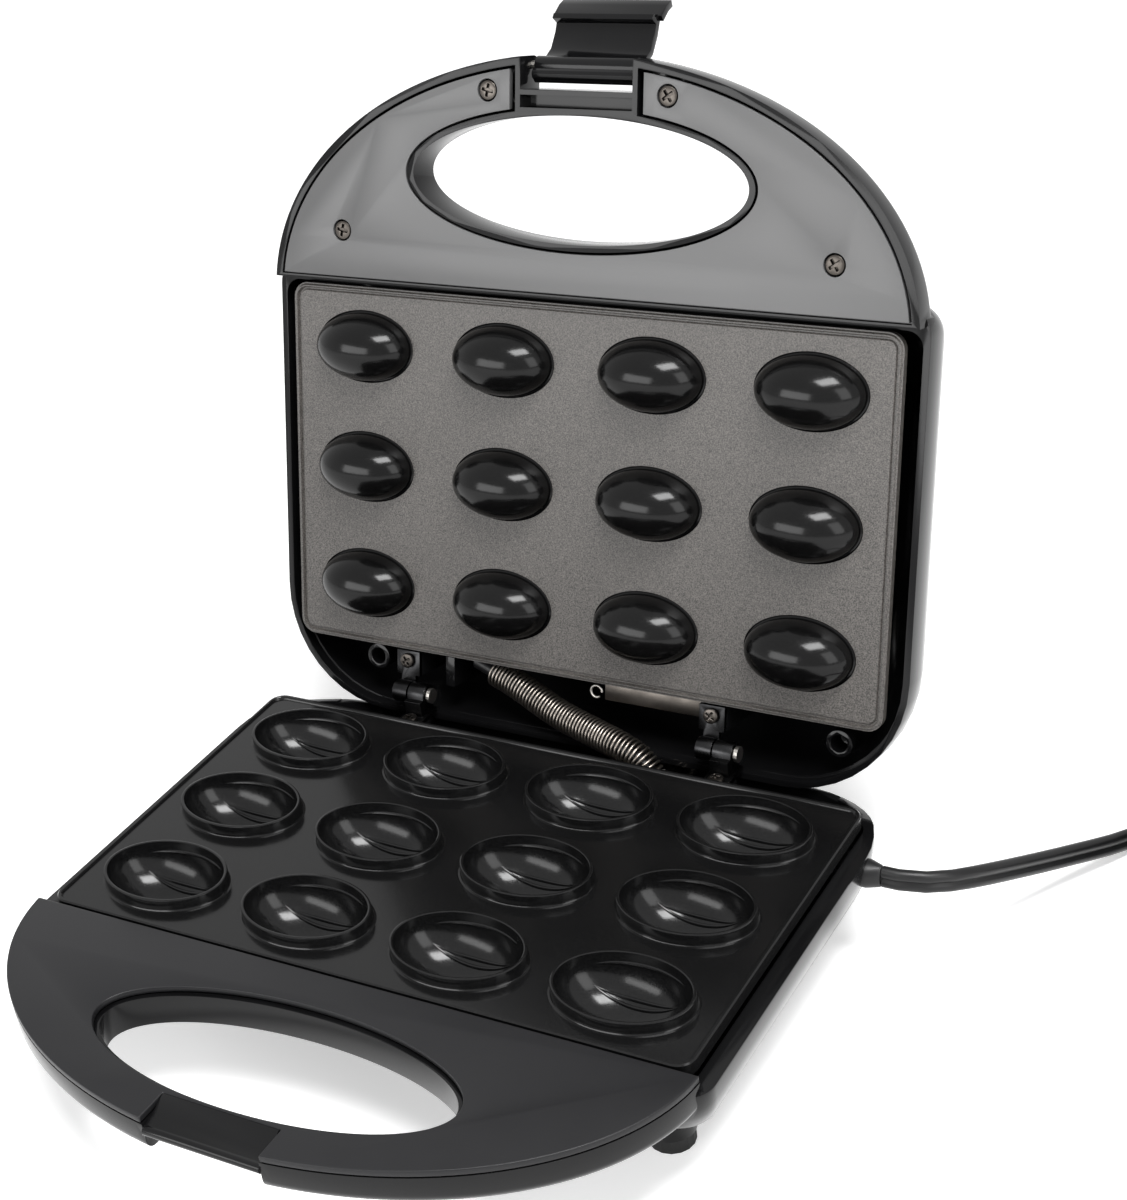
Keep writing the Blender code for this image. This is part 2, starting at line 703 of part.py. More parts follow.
def boss_bore(x, back, direction):
    """Make the blind bore of a plate boss."""
    end = back + direction * PLATE_BOSS_LENGTH
    return rod(
        PLATE_SCREW_RADIUS + GAP, (x, 0, end + direction * OVERRUN),
        (x, 0, end - direction * (PLATE_SCREW_BITE + PLATE_GAP)), 12,
    )


def lower_baking_plate():
    """Make the plate with twelve cups."""
    top = -PLATE_LIP_DROP
    slab = plate_slab(PLATE_HALF_WIDTH, PLATE_FRONT, PLATE_REAR, top, -1)
    inner = rounded_frame(
        PLATE_HALF_WIDTH - PLATE_LIP_WIDTH, PLATE_LIP_WIDTH - PLATE_FRONT,
        PLATE_REAR - PLATE_LIP_WIDTH, PLATE_CORNER_RADIUS - PLATE_LIP_WIDTH,
        PLATE_CORNER_RADIUS - PLATE_LIP_WIDTH, 4,
    )
    join(slab, prism(inner, FIELD_Z - PLATE_THICKNESS, top - PLATE_THICKNESS / 2))
    cut(slab, prism(inner, FIELD_Z, top + OVERRUN))
    inner_length = CUP_RIM_HALF_LENGTH - CUP_RIM_WALL
    inner_width = CUP_RIM_HALF_WIDTH - CUP_RIM_WALL
    outer = [
        (CUP_RIM_HALF_LENGTH, CUP_RIM_HALF_WIDTH, 0),
        (CUP_RIM_HALF_LENGTH, CUP_RIM_HALF_WIDTH, FIELD_Z - PLATE_THICKNESS / 2),
    ] + bowl_rings(inner_length, inner_width, CUP_DEPTH, CUP_WALL)[1:]
    hollow = [
        (inner_length, inner_width, OVERRUN),
        (inner_length, inner_width, 0),
    ] + bowl_rings(inner_length, inner_width, CUP_DEPTH, 0)
    join(slab, pattern_of_bowls(outer))
    join(slab, *[plate_boss(x, FIELD_UNDER, -1) for x in PLATE_SCREW_XS])
    cut(slab, pattern_of_bowls(hollow))
    cut(slab, *[boss_bore(x, FIELD_UNDER, -1) for x in PLATE_SCREW_XS])
    return piece("lower_baking_plate", slab, "coating_black")


def upper_baking_plate():
    """Make the plate with twelve bumps."""
    slab = plate_slab(UPPER_PLATE_HALF_WIDTH, UPPER_PLATE_FRONT, UPPER_PLATE_REAR, UPPER_FACE, 1)
    inner = rounded_frame(
        UPPER_PLATE_HALF_WIDTH - UPPER_BORDER_WIDTH, UPPER_BORDER_WIDTH - UPPER_PLATE_FRONT,
        UPPER_PLATE_REAR - UPPER_BORDER_WIDTH, PLATE_CORNER_RADIUS - UPPER_BORDER_WIDTH,
        PLATE_CORNER_RADIUS - UPPER_BORDER_WIDTH, 4,
    )
    cut(slab, prism(inner, UPPER_FACE - OVERRUN, UPPER_FACE + UPPER_BORDER_HEIGHT))
    field = UPPER_FACE + UPPER_BORDER_HEIGHT
    bump = [(BUMP_HALF_LENGTH, BUMP_HALF_WIDTH, field + PLATE_THICKNESS / 3)] + [
        (a, b, field + z) for a, b, z in
        [(BUMP_HALF_LENGTH, BUMP_HALF_WIDTH, 0)]
        + bowl_rings(BUMP_HALF_LENGTH, BUMP_HALF_WIDTH, BUMP_HEIGHT, 0)
    ]
    inner_length = BUMP_HALF_LENGTH - BUMP_WALL
    inner_width = BUMP_HALF_WIDTH - BUMP_WALL
    hollow = [(inner_length, inner_width, UPPER_BACK + OVERRUN)] + [
        (a, b, field + z) for a, b, z in
        bowl_rings(inner_length, inner_width, BUMP_HEIGHT - BUMP_WALL, 0)
    ]
    join(slab, pattern_of_bowls(bump))
    join(slab, *[plate_boss(x, UPPER_BACK, 1) for x in PLATE_SCREW_XS])
    cut(slab, pattern_of_bowls(hollow))
    cut(slab, *[boss_bore(x, UPPER_BACK, 1) for x in PLATE_SCREW_XS])
    return piece("upper_baking_plate", slab, "coating_grey", lid_axis)


# Heating elements, shields and plate screws

def heating_element(name, half_width, level, frame):
    """Make a tubular element that runs between the rows of cups and back."""
    end_x = -(half_width - PLATE_SKIRT_WALL - GAP - ELEMENT_RADIUS)
    leg_y = ROW_PITCH / 2
    bend_x = end_x + ELEMENT_BEND_RADIUS
    bend_y = leg_y - ELEMENT_BEND_RADIUS
    route = [(ELEMENT_TERMINAL_X, leg_y, level)]
    for side in (1, -1):
        for i in range(7):
            angle = math.pi / 2 * i / 6 if side == 1 else math.pi / 2 * (1 - i / 6)
            route.append((
                bend_x - ELEMENT_BEND_RADIUS * math.sin(angle),
                side * (bend_y + ELEMENT_BEND_RADIUS * math.cos(angle)), level,
            ))
    route.append((ELEMENT_TERMINAL_X, -leg_y, level))
    return piece(name, tube(route, ELEMENT_RADIUS), "element_steel", frame)


def heat_shield(name, half_width, front, rear, floor, direction, frame):
    """Make a shallow pan behind a plate; direction points from its floor to the plate."""
    half_width = half_width - SHIELD_INSET
    front = front - SHIELD_INSET
    rear = rear - SHIELD_INSET
    wall = SHIELD_THICKNESS
    outer = rounded_frame(half_width, -front, rear, SHIELD_CORNER_RADIUS, SHIELD_CORNER_RADIUS, 3)
    inner = rounded_frame(
        half_width - wall, wall - front, rear - wall,
        SHIELD_CORNER_RADIUS - wall, SHIELD_CORNER_RADIUS - wall, 3,
    )
    top = floor + direction * (wall + SHIELD_WALL_HEIGHT)
    pan = prism(outer, floor, top)
    cut(pan, prism(inner, floor + direction * wall, top + direction * OVERRUN))
    for x in PLATE_SCREW_XS:
        cut(pan, rod(
            PLATE_SCREW_RADIUS + GAP, (x, 0, floor - direction * OVERRUN),
            (x, 0, floor + direction * OVERRUN), 12,
        ))
    return piece(name, pan, "bright_steel", frame)


def screw(name, place, direction, radius, length, head_radius, head_height, frame, sides=10):
    """Make a screw whose head starts at place and whose shank runs along direction."""
    place = Vector(place)
    direction = Vector(direction)
    neck = place + direction * head_height
    body = rod(head_radius, place, neck, sides)
    join(body, rod(radius, place + direction * head_height / 2, neck + direction * length, 8))
    return piece(name, body, "dark_screw", frame)


def plate_screws():
    """Make the screws that hold each plate with its shield."""
    lower_head = BASE_FLOOR + GAP
    tip = FIELD_UNDER - PLATE_BOSS_LENGTH + PLATE_SCREW_BITE
    for side, x in zip(("left", "right"), PLATE_SCREW_XS):
        screw(
            "lower_plate_screw_" + side, (x, 0, lower_head), (0, 0, 1), PLATE_SCREW_RADIUS,
            tip - lower_head - PLATE_SCREW_HEAD_HEIGHT, PLATE_SCREW_HEAD_RADIUS,
            PLATE_SCREW_HEAD_HEIGHT, base_frame,
        )
        upper_head = UPPER_SHIELD_BOTTOM + SHIELD_THICKNESS + GAP + PLATE_SCREW_HEAD_HEIGHT
        screw(
            "upper_plate_screw_" + side, (x, 0, upper_head), (0, 0, -1), PLATE_SCREW_RADIUS,
            PLATE_SCREW_BITE + SHIELD_THICKNESS + GAP, PLATE_SCREW_HEAD_RADIUS,
            PLATE_SCREW_HEAD_HEIGHT, lid_axis,
        )


lower_baking_plate()
upper_baking_plate()
heating_element(
    "lower_heating_element", PLATE_HALF_WIDTH, FIELD_UNDER - GAP - ELEMENT_RADIUS, base_frame
)
heating_element(
    "upper_heating_element", UPPER_PLATE_HALF_WIDTH, UPPER_BACK + GAP + ELEMENT_RADIUS, lid_axis
)
heat_shield(
    "lower_heat_shield", PLATE_HALF_WIDTH, PLATE_FRONT, PLATE_REAR,
    SHIELD_TOP - SHIELD_THICKNESS, 1, base_frame,
)
heat_shield(
    "upper_heat_shield", UPPER_PLATE_HALF_WIDTH, UPPER_PLATE_FRONT, UPPER_PLATE_REAR,
    UPPER_SHIELD_BOTTOM + SHIELD_THICKNESS, -1, lid_axis,
)
plate_screws()


# Casings

def tub(half_width, front, rear, front_corner, rear_corner, rim, side_height, end, rounding, inset):
    """Make a rounded tub from its rim to its end level, drawn in by an inset all round."""
    direction = 1 if end > rim else -1
    start = rim + direction * side_height
    deep = abs(end - start) - inset
    rings = []
    steps = 4
    for i in range(-1, steps + 1):
        angle = math.pi / 2 * max(i, 0) / steps
        shrink = inset + (rounding - inset) * (1 - math.cos(angle))
        level = rim if i < 0 else start + direction * deep * math.sin(angle)
        front_radius = front_corner + max(shrink - inset, 0) / 2
        rear_radius = rear_corner - shrink / 2
        outline = rounded_frame(
            half_width - shrink, shrink - front, rear - shrink, front_radius, rear_radius
        )
        rings.append([(x, y, level) for x, y in outline])
    return loft(rings)


def handle_block(half_width, reach, end_y, near, far):
    """Make a handle's half ellipse, rounded along its far edge."""
    direction = 1 if far > near else -1
    radius = HANDLE_EDGE_ROUNDING
    rings = [[(x, y, near) for x, y in half_ellipse(half_width, reach, end_y)]]
    for i in range(4):
        angle = math.pi / 2 * i / 3
        inset = radius * (1 - math.cos(angle))
        level = far - direction * radius * (1 - math.sin(angle))
        rings.append([(x, y, level) for x, y in half_ellipse(half_width, reach, end_y, inset)])
    return loft(rings)


def hand_hole(half_length, half_width, grow, low, high):
    """Make the oval of a hand hole between two levels."""
    return prism(
        ellipse(0, HAND_HOLE_Y, half_length + grow, half_width + grow, HOLE_SIDES), low, high
    )


def handle_cavity(reach, wall, low, high, hole_length, hole_width, block_half_width):
    """Make the hollow of a handle, which leaves the hand hole's wall and the latch block."""
    hollow = prism(half_ellipse(HANDLE_HALF_WIDTH, reach, HANDLE_CAVITY_END_Y, wall), low, high)
    cut(hollow, hand_hole(hole_length, hole_width, HOLE_WALL, low - OVERRUN, high + OVERRUN))
    return cut(hollow, box(
        (-block_half_width, block_half_width), (RECESS_BLOCK_REAR_Y, HANDLE_CENTRE_Y - 2 * reach),
        (low - OVERRUN, high + OVERRUN),
    ))


def plate_opening(half_width, front, rear, low, high):
    """Make the opening of a casing rim round its plate."""
    gap = PLATE_GAP
    radius = PLATE_CORNER_RADIUS + gap
    return prism(
        rounded_frame(half_width + gap, -front - gap, rear + gap, radius, radius, 4), low, high
    )


def tub_level(y, rear, start, end):
    """Return the level of a tub's rounded rear wall at y, in the middle of its thickness."""
    angle = math.acos(1 - (rear - y) / BASE_ROUNDING)
    direction = 1 if end > start else -1
    return start + direction * ((abs(end - start)) * math.sin(angle) - SHELL_WALL / 2)


def open_place(y, z):
    """Carry a (y, z) point of the closed lid to where the open lid has it."""
    dy = y - HINGE_Y
    dz = z - HINGE_Z
    cosine = math.cos(-OPEN_ANGLE)
    sine = math.sin(-OPEN_ANGLE)
    return HINGE_Y + dy * cosine - dz * sine, HINGE_Z + dy * sine + dz * cosine


def rear_sill_level(y):
    """Return how high the base's rear wall may stand at y under the open lid."""
    near_y, near_z = open_place(LID_REAR, LID_RIM)
    far_y, far_z = open_place(LID_REAR, LID_RIM + LID_SIDE_HEIGHT)
    slope = (far_z - near_z) / (far_y - near_y)
    return near_z + slope * (y - near_y) - GAP


def catch_outline():
    """Return the (y, z) outline of what the notch takes out of the base handle."""
    top = BASE_HANDLE_TOP + OVERRUN
    low = BASE_HANDLE_BOTTOM - OVERRUN
    front = HANDLE_CENTRE_Y - BASE_HANDLE_REACH - OVERRUN
    floor_end = BASE_HANDLE_TOP - NOTCH_FLOOR_FALL
    bead = -CATCH_DROP
    outline = [(front, top), (NOTCH_REAR_Y, top), (NOTCH_REAR_Y, BASE_HANDLE_TOP)]
    outline.append((NOTCH_FRONT_Y, floor_end))
    for i in range(8):
        angle = math.radians(80 + 25 * i)
        outline.append((
            CATCH_Y + CATCH_RADIUS * math.cos(angle), bead + CATCH_RADIUS * math.sin(angle),
        ))
    outline.append((CATCH_RECESS_Y, bead - CATCH_RADIUS))
    outline.append((CATCH_RECESS_Y, low))
    outline.append((front, low))
    return outline


FOOT_PLACES = {
    "front_left": (-FOOT_X, FOOT_FRONT_Y),
    "front_right": (FOOT_X, FOOT_FRONT_Y),
    "rear_left": (-FOOT_REAR_X, FOOT_REAR_Y),
    "rear_right": (FOOT_REAR_X, FOOT_REAR_Y),
}
BASE_SCREW_PLACES = {
    "inner_left": (-COVER_SCREW_INNER_X, BASE_SCREW_INNER_Y),
    "inner_right": (COVER_SCREW_INNER_X, BASE_SCREW_INNER_Y),
    "outer_left": (-COVER_SCREW_OUTER_X, COVER_SCREW_OUTER_Y),
    "outer_right": (COVER_SCREW_OUTER_X, COVER_SCREW_OUTER_Y),
}
LID_SCREW_PLACES = {
    "inner_left": (-COVER_SCREW_INNER_X, COVER_SCREW_INNER_Y),
    "inner_right": (COVER_SCREW_INNER_X, COVER_SCREW_INNER_Y),
    "outer_left": (-COVER_SCREW_OUTER_X, COVER_SCREW_OUTER_Y),
    "outer_right": (COVER_SCREW_OUTER_X, COVER_SCREW_OUTER_Y),
}
INNER_LEAD_SHARES = [(0.08, 0.00), (0.14, 0.16), (0.20, 0.45), (0.47, 0.82), (0.79, 0.97)]
LAMP_XS = {"power_lamp": -LAMP_SPACING / 2, "ready_lamp": LAMP_SPACING / 2}
BASE_INNER_FLOOR = BASE_FLOOR + SHELL_WALL
BASE_PAD_BOTTOM = -BASE_PAD_DROP
LID_PAD_BOTTOM = LID_PAD_RISE


def lower_casing():
    """Make the base tub with its handle, catch bar, posts and holes."""
    shell = tub(
        BASE_HALF_WIDTH, BASE_FRONT, BASE_REAR, BASE_FRONT_CORNER, BASE_REAR_CORNER,
        BASE_RIM, BASE_SIDE_HEIGHT, BASE_FLOOR, BASE_ROUNDING, 0,
    )
    hollow = tub(
        BASE_HALF_WIDTH, BASE_FRONT, BASE_REAR, BASE_FRONT_CORNER, BASE_REAR_CORNER,
        BASE_RIM - RIM_THICKNESS, 0, BASE_FLOOR, BASE_ROUNDING, SHELL_WALL,
    )
    join(shell, handle_block(
        HANDLE_HALF_WIDTH, BASE_HANDLE_REACH, BASE_HANDLE_END_Y,
        BASE_HANDLE_DECK, BASE_HANDLE_BOTTOM,
    ))
    notch = NOTCH_HALF_WIDTH
    block = notch + NOTCH_SIDE_WALL
    join(shell, box(
        (-notch, notch), (NOTCH_REAR_Y, HANDLE_CENTRE_Y - BASE_HANDLE_REACH + OVERRUN / 2),
        (BASE_HANDLE_DECK - COVER_THICKNESS, BASE_HANDLE_TOP),
    ))
    cut(
        shell, hollow,
        handle_cavity(
            BASE_HANDLE_REACH, SHELL_WALL, BASE_HANDLE_BOTTOM + SHELL_WALL,
            BASE_HANDLE_DECK + OVERRUN, BASE_HOLE_HALF_LENGTH - BASE_HOLE_STEP,
            BASE_HOLE_HALF_WIDTH - BASE_HOLE_STEP, block,
        ),
        hand_hole(
            BASE_HOLE_HALF_LENGTH, BASE_HOLE_HALF_WIDTH, -BASE_HOLE_STEP,
            BASE_HANDLE_BOTTOM - OVERRUN, BASE_HANDLE_TOP + OVERRUN,
        ),
        side_prism(catch_outline(), notch),
        plate_opening(
            PLATE_HALF_WIDTH, PLATE_FRONT, PLATE_REAR,
            BASE_RIM - 2 * RIM_THICKNESS, BASE_HANDLE_TOP,
        ),
        box(
            (-WELL_HALF_WIDTH, WELL_HALF_WIDTH), (PLATE_REAR - OVERRUN, BASE_REAR - SHELL_WALL),
            (BASE_RIM - 2 * RIM_THICKNESS, BASE_HANDLE_TOP),
        ),
        side_prism(
            [(PLATE_REAR + PLATE_GAP, rear_sill_level(PLATE_REAR + PLATE_GAP)),
             (BASE_REAR + OVERRUN, rear_sill_level(BASE_REAR + OVERRUN)),
             (BASE_REAR + OVERRUN, BASE_HANDLE_TOP), (PLATE_REAR + PLATE_GAP, BASE_HANDLE_TOP)],
            REAR_SILL_HALF_WIDTH,
        ),
    )
    posts = [
        rod(FOOT_RADIUS + PLATE_GAP, (x, y, -FOOT_SEAT_DROP), (x, y, BASE_INNER_FLOOR + FOOT_HEIGHT), 12)
        for x, y in FOOT_PLACES.values()
    ]
    posts += [
        rod(PLATE_BOSS_RADIUS, (x, 0, BASE_FLOOR + SHELL_WALL / 2),
            (x, 0, SHIELD_TOP - SHIELD_THICKNESS - GAP), 16)
        for x in PLATE_SCREW_XS
    ]
    posts += [
        box((x - HINGE_LEAF_WIDTH / 2, x + HINGE_LEAF_WIDTH / 2),
            (BASE_PAD_FRONT_Y, BASE_PAD_REAR_Y),
            (tub_level(BASE_PAD_REAR_Y, BASE_REAR, BASE_RIM, BASE_FLOOR), BASE_PAD_BOTTOM - GAP))
        for x in BASE_KNUCKLE_X.values()
    ]
    join(shell, *posts)
    bores = []
    for x in PLATE_SCREW_XS:
        bores.append(rod(PLATE_SCREW_RADIUS + GAP, (x, 0, BASE_FLOOR - OVERRUN),
                         (x, 0, SHIELD_TOP + OVERRUN), 10))
        bores.append(rod(PLATE_SCREW_HEAD_RADIUS + GAP, (x, 0, BASE_FLOOR - OVERRUN),
                         (x, 0, BASE_FLOOR + GAP + PLATE_SCREW_HEAD_HEIGHT + GAP), 12))
    for x, y in BASE_SCREW_PLACES.values():
        bores.append(rod(COVER_SCREW_RADIUS + GAP, (x, y, BASE_HANDLE_BOTTOM - OVERRUN),
                         (x, y, BASE_HANDLE_DECK), 10))
    for x in BASE_KNUCKLE_X.values():
        bores.append(rod(
            HINGE_SCREW_RADIUS + GAP,
            (x, BASE_PAD_FRONT_Y + HINGE_SCREW_INSET, BASE_PAD_BOTTOM + OVERRUN),
            (x, BASE_PAD_FRONT_Y + HINGE_SCREW_INSET, BASE_PAD_BOTTOM - HINGE_SCREW_LENGTH), 12,
        ))
    exit_z = -CORD_EXIT_DROP
    flange_x = BASE_HALF_WIDTH - BUSHING_FLANGE_INSET
    bores.append(rod(BUSHING_RADIUS + GAP, (flange_x, CORD_EXIT_Y, exit_z),
                     (BASE_HALF_WIDTH + OVERRUN, CORD_EXIT_Y, exit_z), 16))
    bores.append(rod(
        BUSHING_FLANGE_RADIUS + GAP, (flange_x - OVERRUN, CORD_EXIT_Y, exit_z),
        (flange_x + BUSHING_FLANGE_LENGTH + GAP, CORD_EXIT_Y, exit_z), 16,
    ))
    cut(shell, *bores)
    return piece("lower_casing", shell, "gloss_black")


def lower_handle_cover():
    """Make the flat plate on the base handle with its screw bosses."""
    low = BASE_HANDLE_DECK + GAP
    cover = prism(
        half_ellipse(HANDLE_HALF_WIDTH, BASE_HANDLE_REACH, BASE_HANDLE_END_Y), low, BASE_HANDLE_TOP
    )
    bosses = [
        rod(COVER_BOSS_RADIUS, (x, y, low + COVER_THICKNESS / 2),
            (x, y, BASE_HANDLE_BOTTOM + SHELL_WALL + GAP), 12)
        for x, y in BASE_SCREW_PLACES.values()
    ]
    join(cover, *bosses)
    notch = NOTCH_HALF_WIDTH + GAP
    cut(
        cover,
        hand_hole(BASE_HOLE_HALF_LENGTH, BASE_HOLE_HALF_WIDTH, 0, low - OVERRUN,
                  BASE_HANDLE_TOP + OVERRUN),
        box((-notch, notch), (NOTCH_REAR_Y + GAP, HANDLE_CENTRE_Y - 2 * BASE_HANDLE_REACH),
            (low - OVERRUN, BASE_HANDLE_TOP + OVERRUN)),
        *[rod(COVER_SCREW_RADIUS + GAP, (x, y, BASE_HANDLE_BOTTOM),
              (x, y, low - GAP), 10)
          for x, y in BASE_SCREW_PLACES.values()],
    )
    return piece("lower_handle_cover", cover, "satin_black")


def upper_casing():
    """Make the lid tub with its handle, latch recess, posts and holes."""
    shell = tub(
        LID_HALF_WIDTH, LID_FRONT, LID_REAR, LID_FRONT_CORNER, LID_REAR_CORNER,
        LID_RIM, LID_SIDE_HEIGHT, LID_TOP, LID_ROUNDING, 0,
    )
    hollow = tub(
        LID_HALF_WIDTH, LID_FRONT, LID_REAR, LID_FRONT_CORNER, LID_REAR_CORNER,
        LID_RIM + RIM_THICKNESS, LID_SIDE_HEIGHT - RIM_THICKNESS, LID_TOP, LID_ROUNDING, SHELL_WALL,
    )
    join(shell, handle_block(
        HANDLE_HALF_WIDTH, LID_HANDLE_REACH, LID_HANDLE_END_Y, LID_HANDLE_FACE, LID_HANDLE_BACK,
    ))
    slot = NOTCH_HALF_WIDTH
    block = slot + RECESS_WALL
    front = HANDLE_CENTRE_Y - 2 * LID_HANDLE_REACH
    below = LID_HANDLE_FACE - OVERRUN
    cover_pocket = prism(
        half_ellipse(HANDLE_HALF_WIDTH, LID_HANDLE_REACH, LID_COVER_END_Y + PLATE_GAP,
                     LID_HANDLE_WALL), below, LID_COVER_BACK + GAP,
    )
    cut(
        cover_pocket,
        box((-block, block), (RECESS_BLOCK_REAR_Y, front), (below - OVERRUN, LID_COVER_BACK + OVERRUN)),
        hand_hole(LID_HOLE_HALF_LENGTH, LID_HOLE_HALF_WIDTH, HOLE_WALL, below - OVERRUN,
                  LID_COVER_BACK + OVERRUN),
    )
    cut(
        shell, hollow,
        handle_cavity(
            LID_HANDLE_REACH, LID_HANDLE_WALL, LID_COVER_BACK - OVERRUN,
            LID_HANDLE_BACK - SHELL_WALL, LID_HOLE_HALF_LENGTH, LID_HOLE_HALF_WIDTH, block,
        ),
        cover_pocket,
        hand_hole(LID_HOLE_HALF_LENGTH, LID_HOLE_HALF_WIDTH, 0, below, LID_HANDLE_BACK + OVERRUN),
        box((-slot, slot), (RECESS_BAR_FRONT_Y, front), (below, LID_HANDLE_BACK + OVERRUN)),
        box((-slot, slot), (RECESS_BAR_REAR_Y, RECESS_REAR_Y),
            (below, LID_HANDLE_FACE + RECESS_POCKET_DEPTH)),
        plate_opening(
            UPPER_PLATE_HALF_WIDTH, UPPER_PLATE_FRONT, UPPER_PLATE_REAR,
            LID_HANDLE_FACE, LID_RIM + 2 * RIM_THICKNESS,
        ),
        box(
            (-WELL_HALF_WIDTH, WELL_HALF_WIDTH), (UPPER_PLATE_REAR - OVERRUN, LID_REAR - SHELL_WALL),
            (LID_HANDLE_FACE, LID_RIM + 2 * RIM_THICKNESS),
        ),
    )
    posts = [
        rod(COVER_BOSS_RADIUS, (x, y, LID_COVER_BACK + GAP + GAP),
            (x, y, LID_HANDLE_BACK - SHELL_WALL / 2), 12)
        for x, y in LID_SCREW_PLACES.values()
    ]
    post_end = UPPER_SHIELD_BOTTOM + SHIELD_THICKNESS + GAP
    posts += [
        rod(PLATE_BOSS_RADIUS, (x, 0, post_end), (x, 0, LID_TOP - SHELL_WALL / 2), 16)
        for x in PLATE_SCREW_XS
    ]
    posts += [
        box((x + LID_KNUCKLE_SHIFT - HINGE_LEAF_WIDTH / 2, x + LID_KNUCKLE_SHIFT + HINGE_LEAF_WIDTH / 2),
            (LID_PAD_FRONT_Y, LID_PAD_REAR_Y),
            (LID_PAD_BOTTOM + HINGE_LEAF_THICKNESS + GAP,
             tub_level(LID_PAD_REAR_Y, LID_REAR, LID_RIM + LID_SIDE_HEIGHT, LID_TOP)))
        for x in BASE_KNUCKLE_X.values()
    ]
    join(shell, *posts)
    bores = []
    for x, y in LID_SCREW_PLACES.values():
        bores.append(rod(COVER_SCREW_RADIUS + GAP, (x, y, LID_HANDLE_FACE),
                         (x, y, LID_HANDLE_FACE + COVER_SCREW_HEAD_HEIGHT + COVER_SCREW_LENGTH + 2 * GAP),
                         10))
    for x in PLATE_SCREW_XS:
        bores.append(rod(PLATE_SCREW_HEAD_RADIUS + GAP, (x, 0, UPPER_SHIELD_BOTTOM),
                         (x, 0, post_end + PLATE_SCREW_HEAD_HEIGHT + GAP), 12))
    for x in BASE_KNUCKLE_X.values():
        y = LID_PAD_FRONT_Y + HINGE_SCREW_INSET
        bores.append(rod(HINGE_SCREW_RADIUS + GAP, (x + LID_KNUCKLE_SHIFT, y, LID_PAD_BOTTOM),
                         (x + LID_KNUCKLE_SHIFT, y, LID_PAD_BOTTOM + HINGE_SCREW_LENGTH + OVERRUN), 10))
    for x in LAMP_XS.values():
        bores.append(rod(LAMP_RADIUS + GAP, (x, LAMP_Y, LID_TOP - 2 * SHELL_WALL),
                         (x, LAMP_Y, LID_TOP + OVERRUN), 16))
    bite = slot + LATCH_AXLE_BITE + GAP
    bores.append(rod(LATCH_AXLE_RADIUS + GAP, (-bite, LATCH_AXLE_Y, LATCH_AXLE_Z),
                     (bite, LATCH_AXLE_Y, LATCH_AXLE_Z), 10))
    cut(shell, *bores)
    return piece("upper_casing", shell, "gloss_black", lid_axis)


def upper_handle_cover():
    """Make the plate set into the lid handle."""
    low = LID_HANDLE_FACE
    high = LID_COVER_BACK
    cover = prism(
        half_ellipse(HANDLE_HALF_WIDTH, LID_HANDLE_REACH, LID_COVER_END_Y,
                     LID_HANDLE_WALL + LID_GROOVE), low, high,
    )
    wing = NOTCH_HALF_WIDTH + RECESS_WALL + RECESS_GROOVE
    holes = []
    for x, y in LID_SCREW_PLACES.values():
        holes.append(rod(COVER_SCREW_RADIUS + GAP, (x, y, low - OVERRUN), (x, y, high + OVERRUN), 10))
        holes.append(rod(COVER_SCREW_HEAD_RADIUS + GAP, (x, y, low - OVERRUN),
                         (x, y, low + COVER_SCREW_HEAD_HEIGHT + GAP), 16))
    cut(
        cover,
        hand_hole(LID_HOLE_HALF_LENGTH, LID_HOLE_HALF_WIDTH, HOLE_WALL + LID_GROOVE,
                  low - OVERRUN, high + OVERRUN),
        box((-wing, wing), (RECESS_BLOCK_REAR_Y, HANDLE_CENTRE_Y - 2 * LID_HANDLE_REACH),
            (low - OVERRUN, high + OVERRUN)),
        *holes,
    )
    return piece("upper_handle_cover", cover, "satin_black", lid_axis)


def cover_screws():
    """Make the screws of both handle covers."""
    for name, (x, y) in LID_SCREW_PLACES.items():
        screw(
            "upper_cover_screw_" + name, (x, y, LID_HANDLE_FACE), (0, 0, 1), COVER_SCREW_RADIUS,
            COVER_SCREW_LENGTH, COVER_SCREW_HEAD_RADIUS, COVER_SCREW_HEAD_HEIGHT, lid_axis,
        )
    for name, (x, y) in BASE_SCREW_PLACES.items():
        head = BASE_HANDLE_BOTTOM - GAP - COVER_SCREW_HEAD_HEIGHT
        screw(
            "lower_cover_screw_" + name, (x, y, head), (0, 0, 1), COVER_SCREW_RADIUS,
            COVER_SCREW_LENGTH, COVER_SCREW_HEAD_RADIUS, COVER_SCREW_HEAD_HEIGHT, base_frame,
        )


def feet():
    """Make the four rubber feet."""
    for name, (x, y) in FOOT_PLACES.items():
        body = rod(FOOT_RADIUS, (x, y, FOOT_BOTTOM), (x, y, FOOT_BOTTOM + FOOT_HEIGHT), 16)
        piece("foot_" + name, body, "foot_rubber")


lower_casing()
lower_handle_cover()
upper_casing()
upper_handle_cover()
cover_screws()
feet()


# Hinges

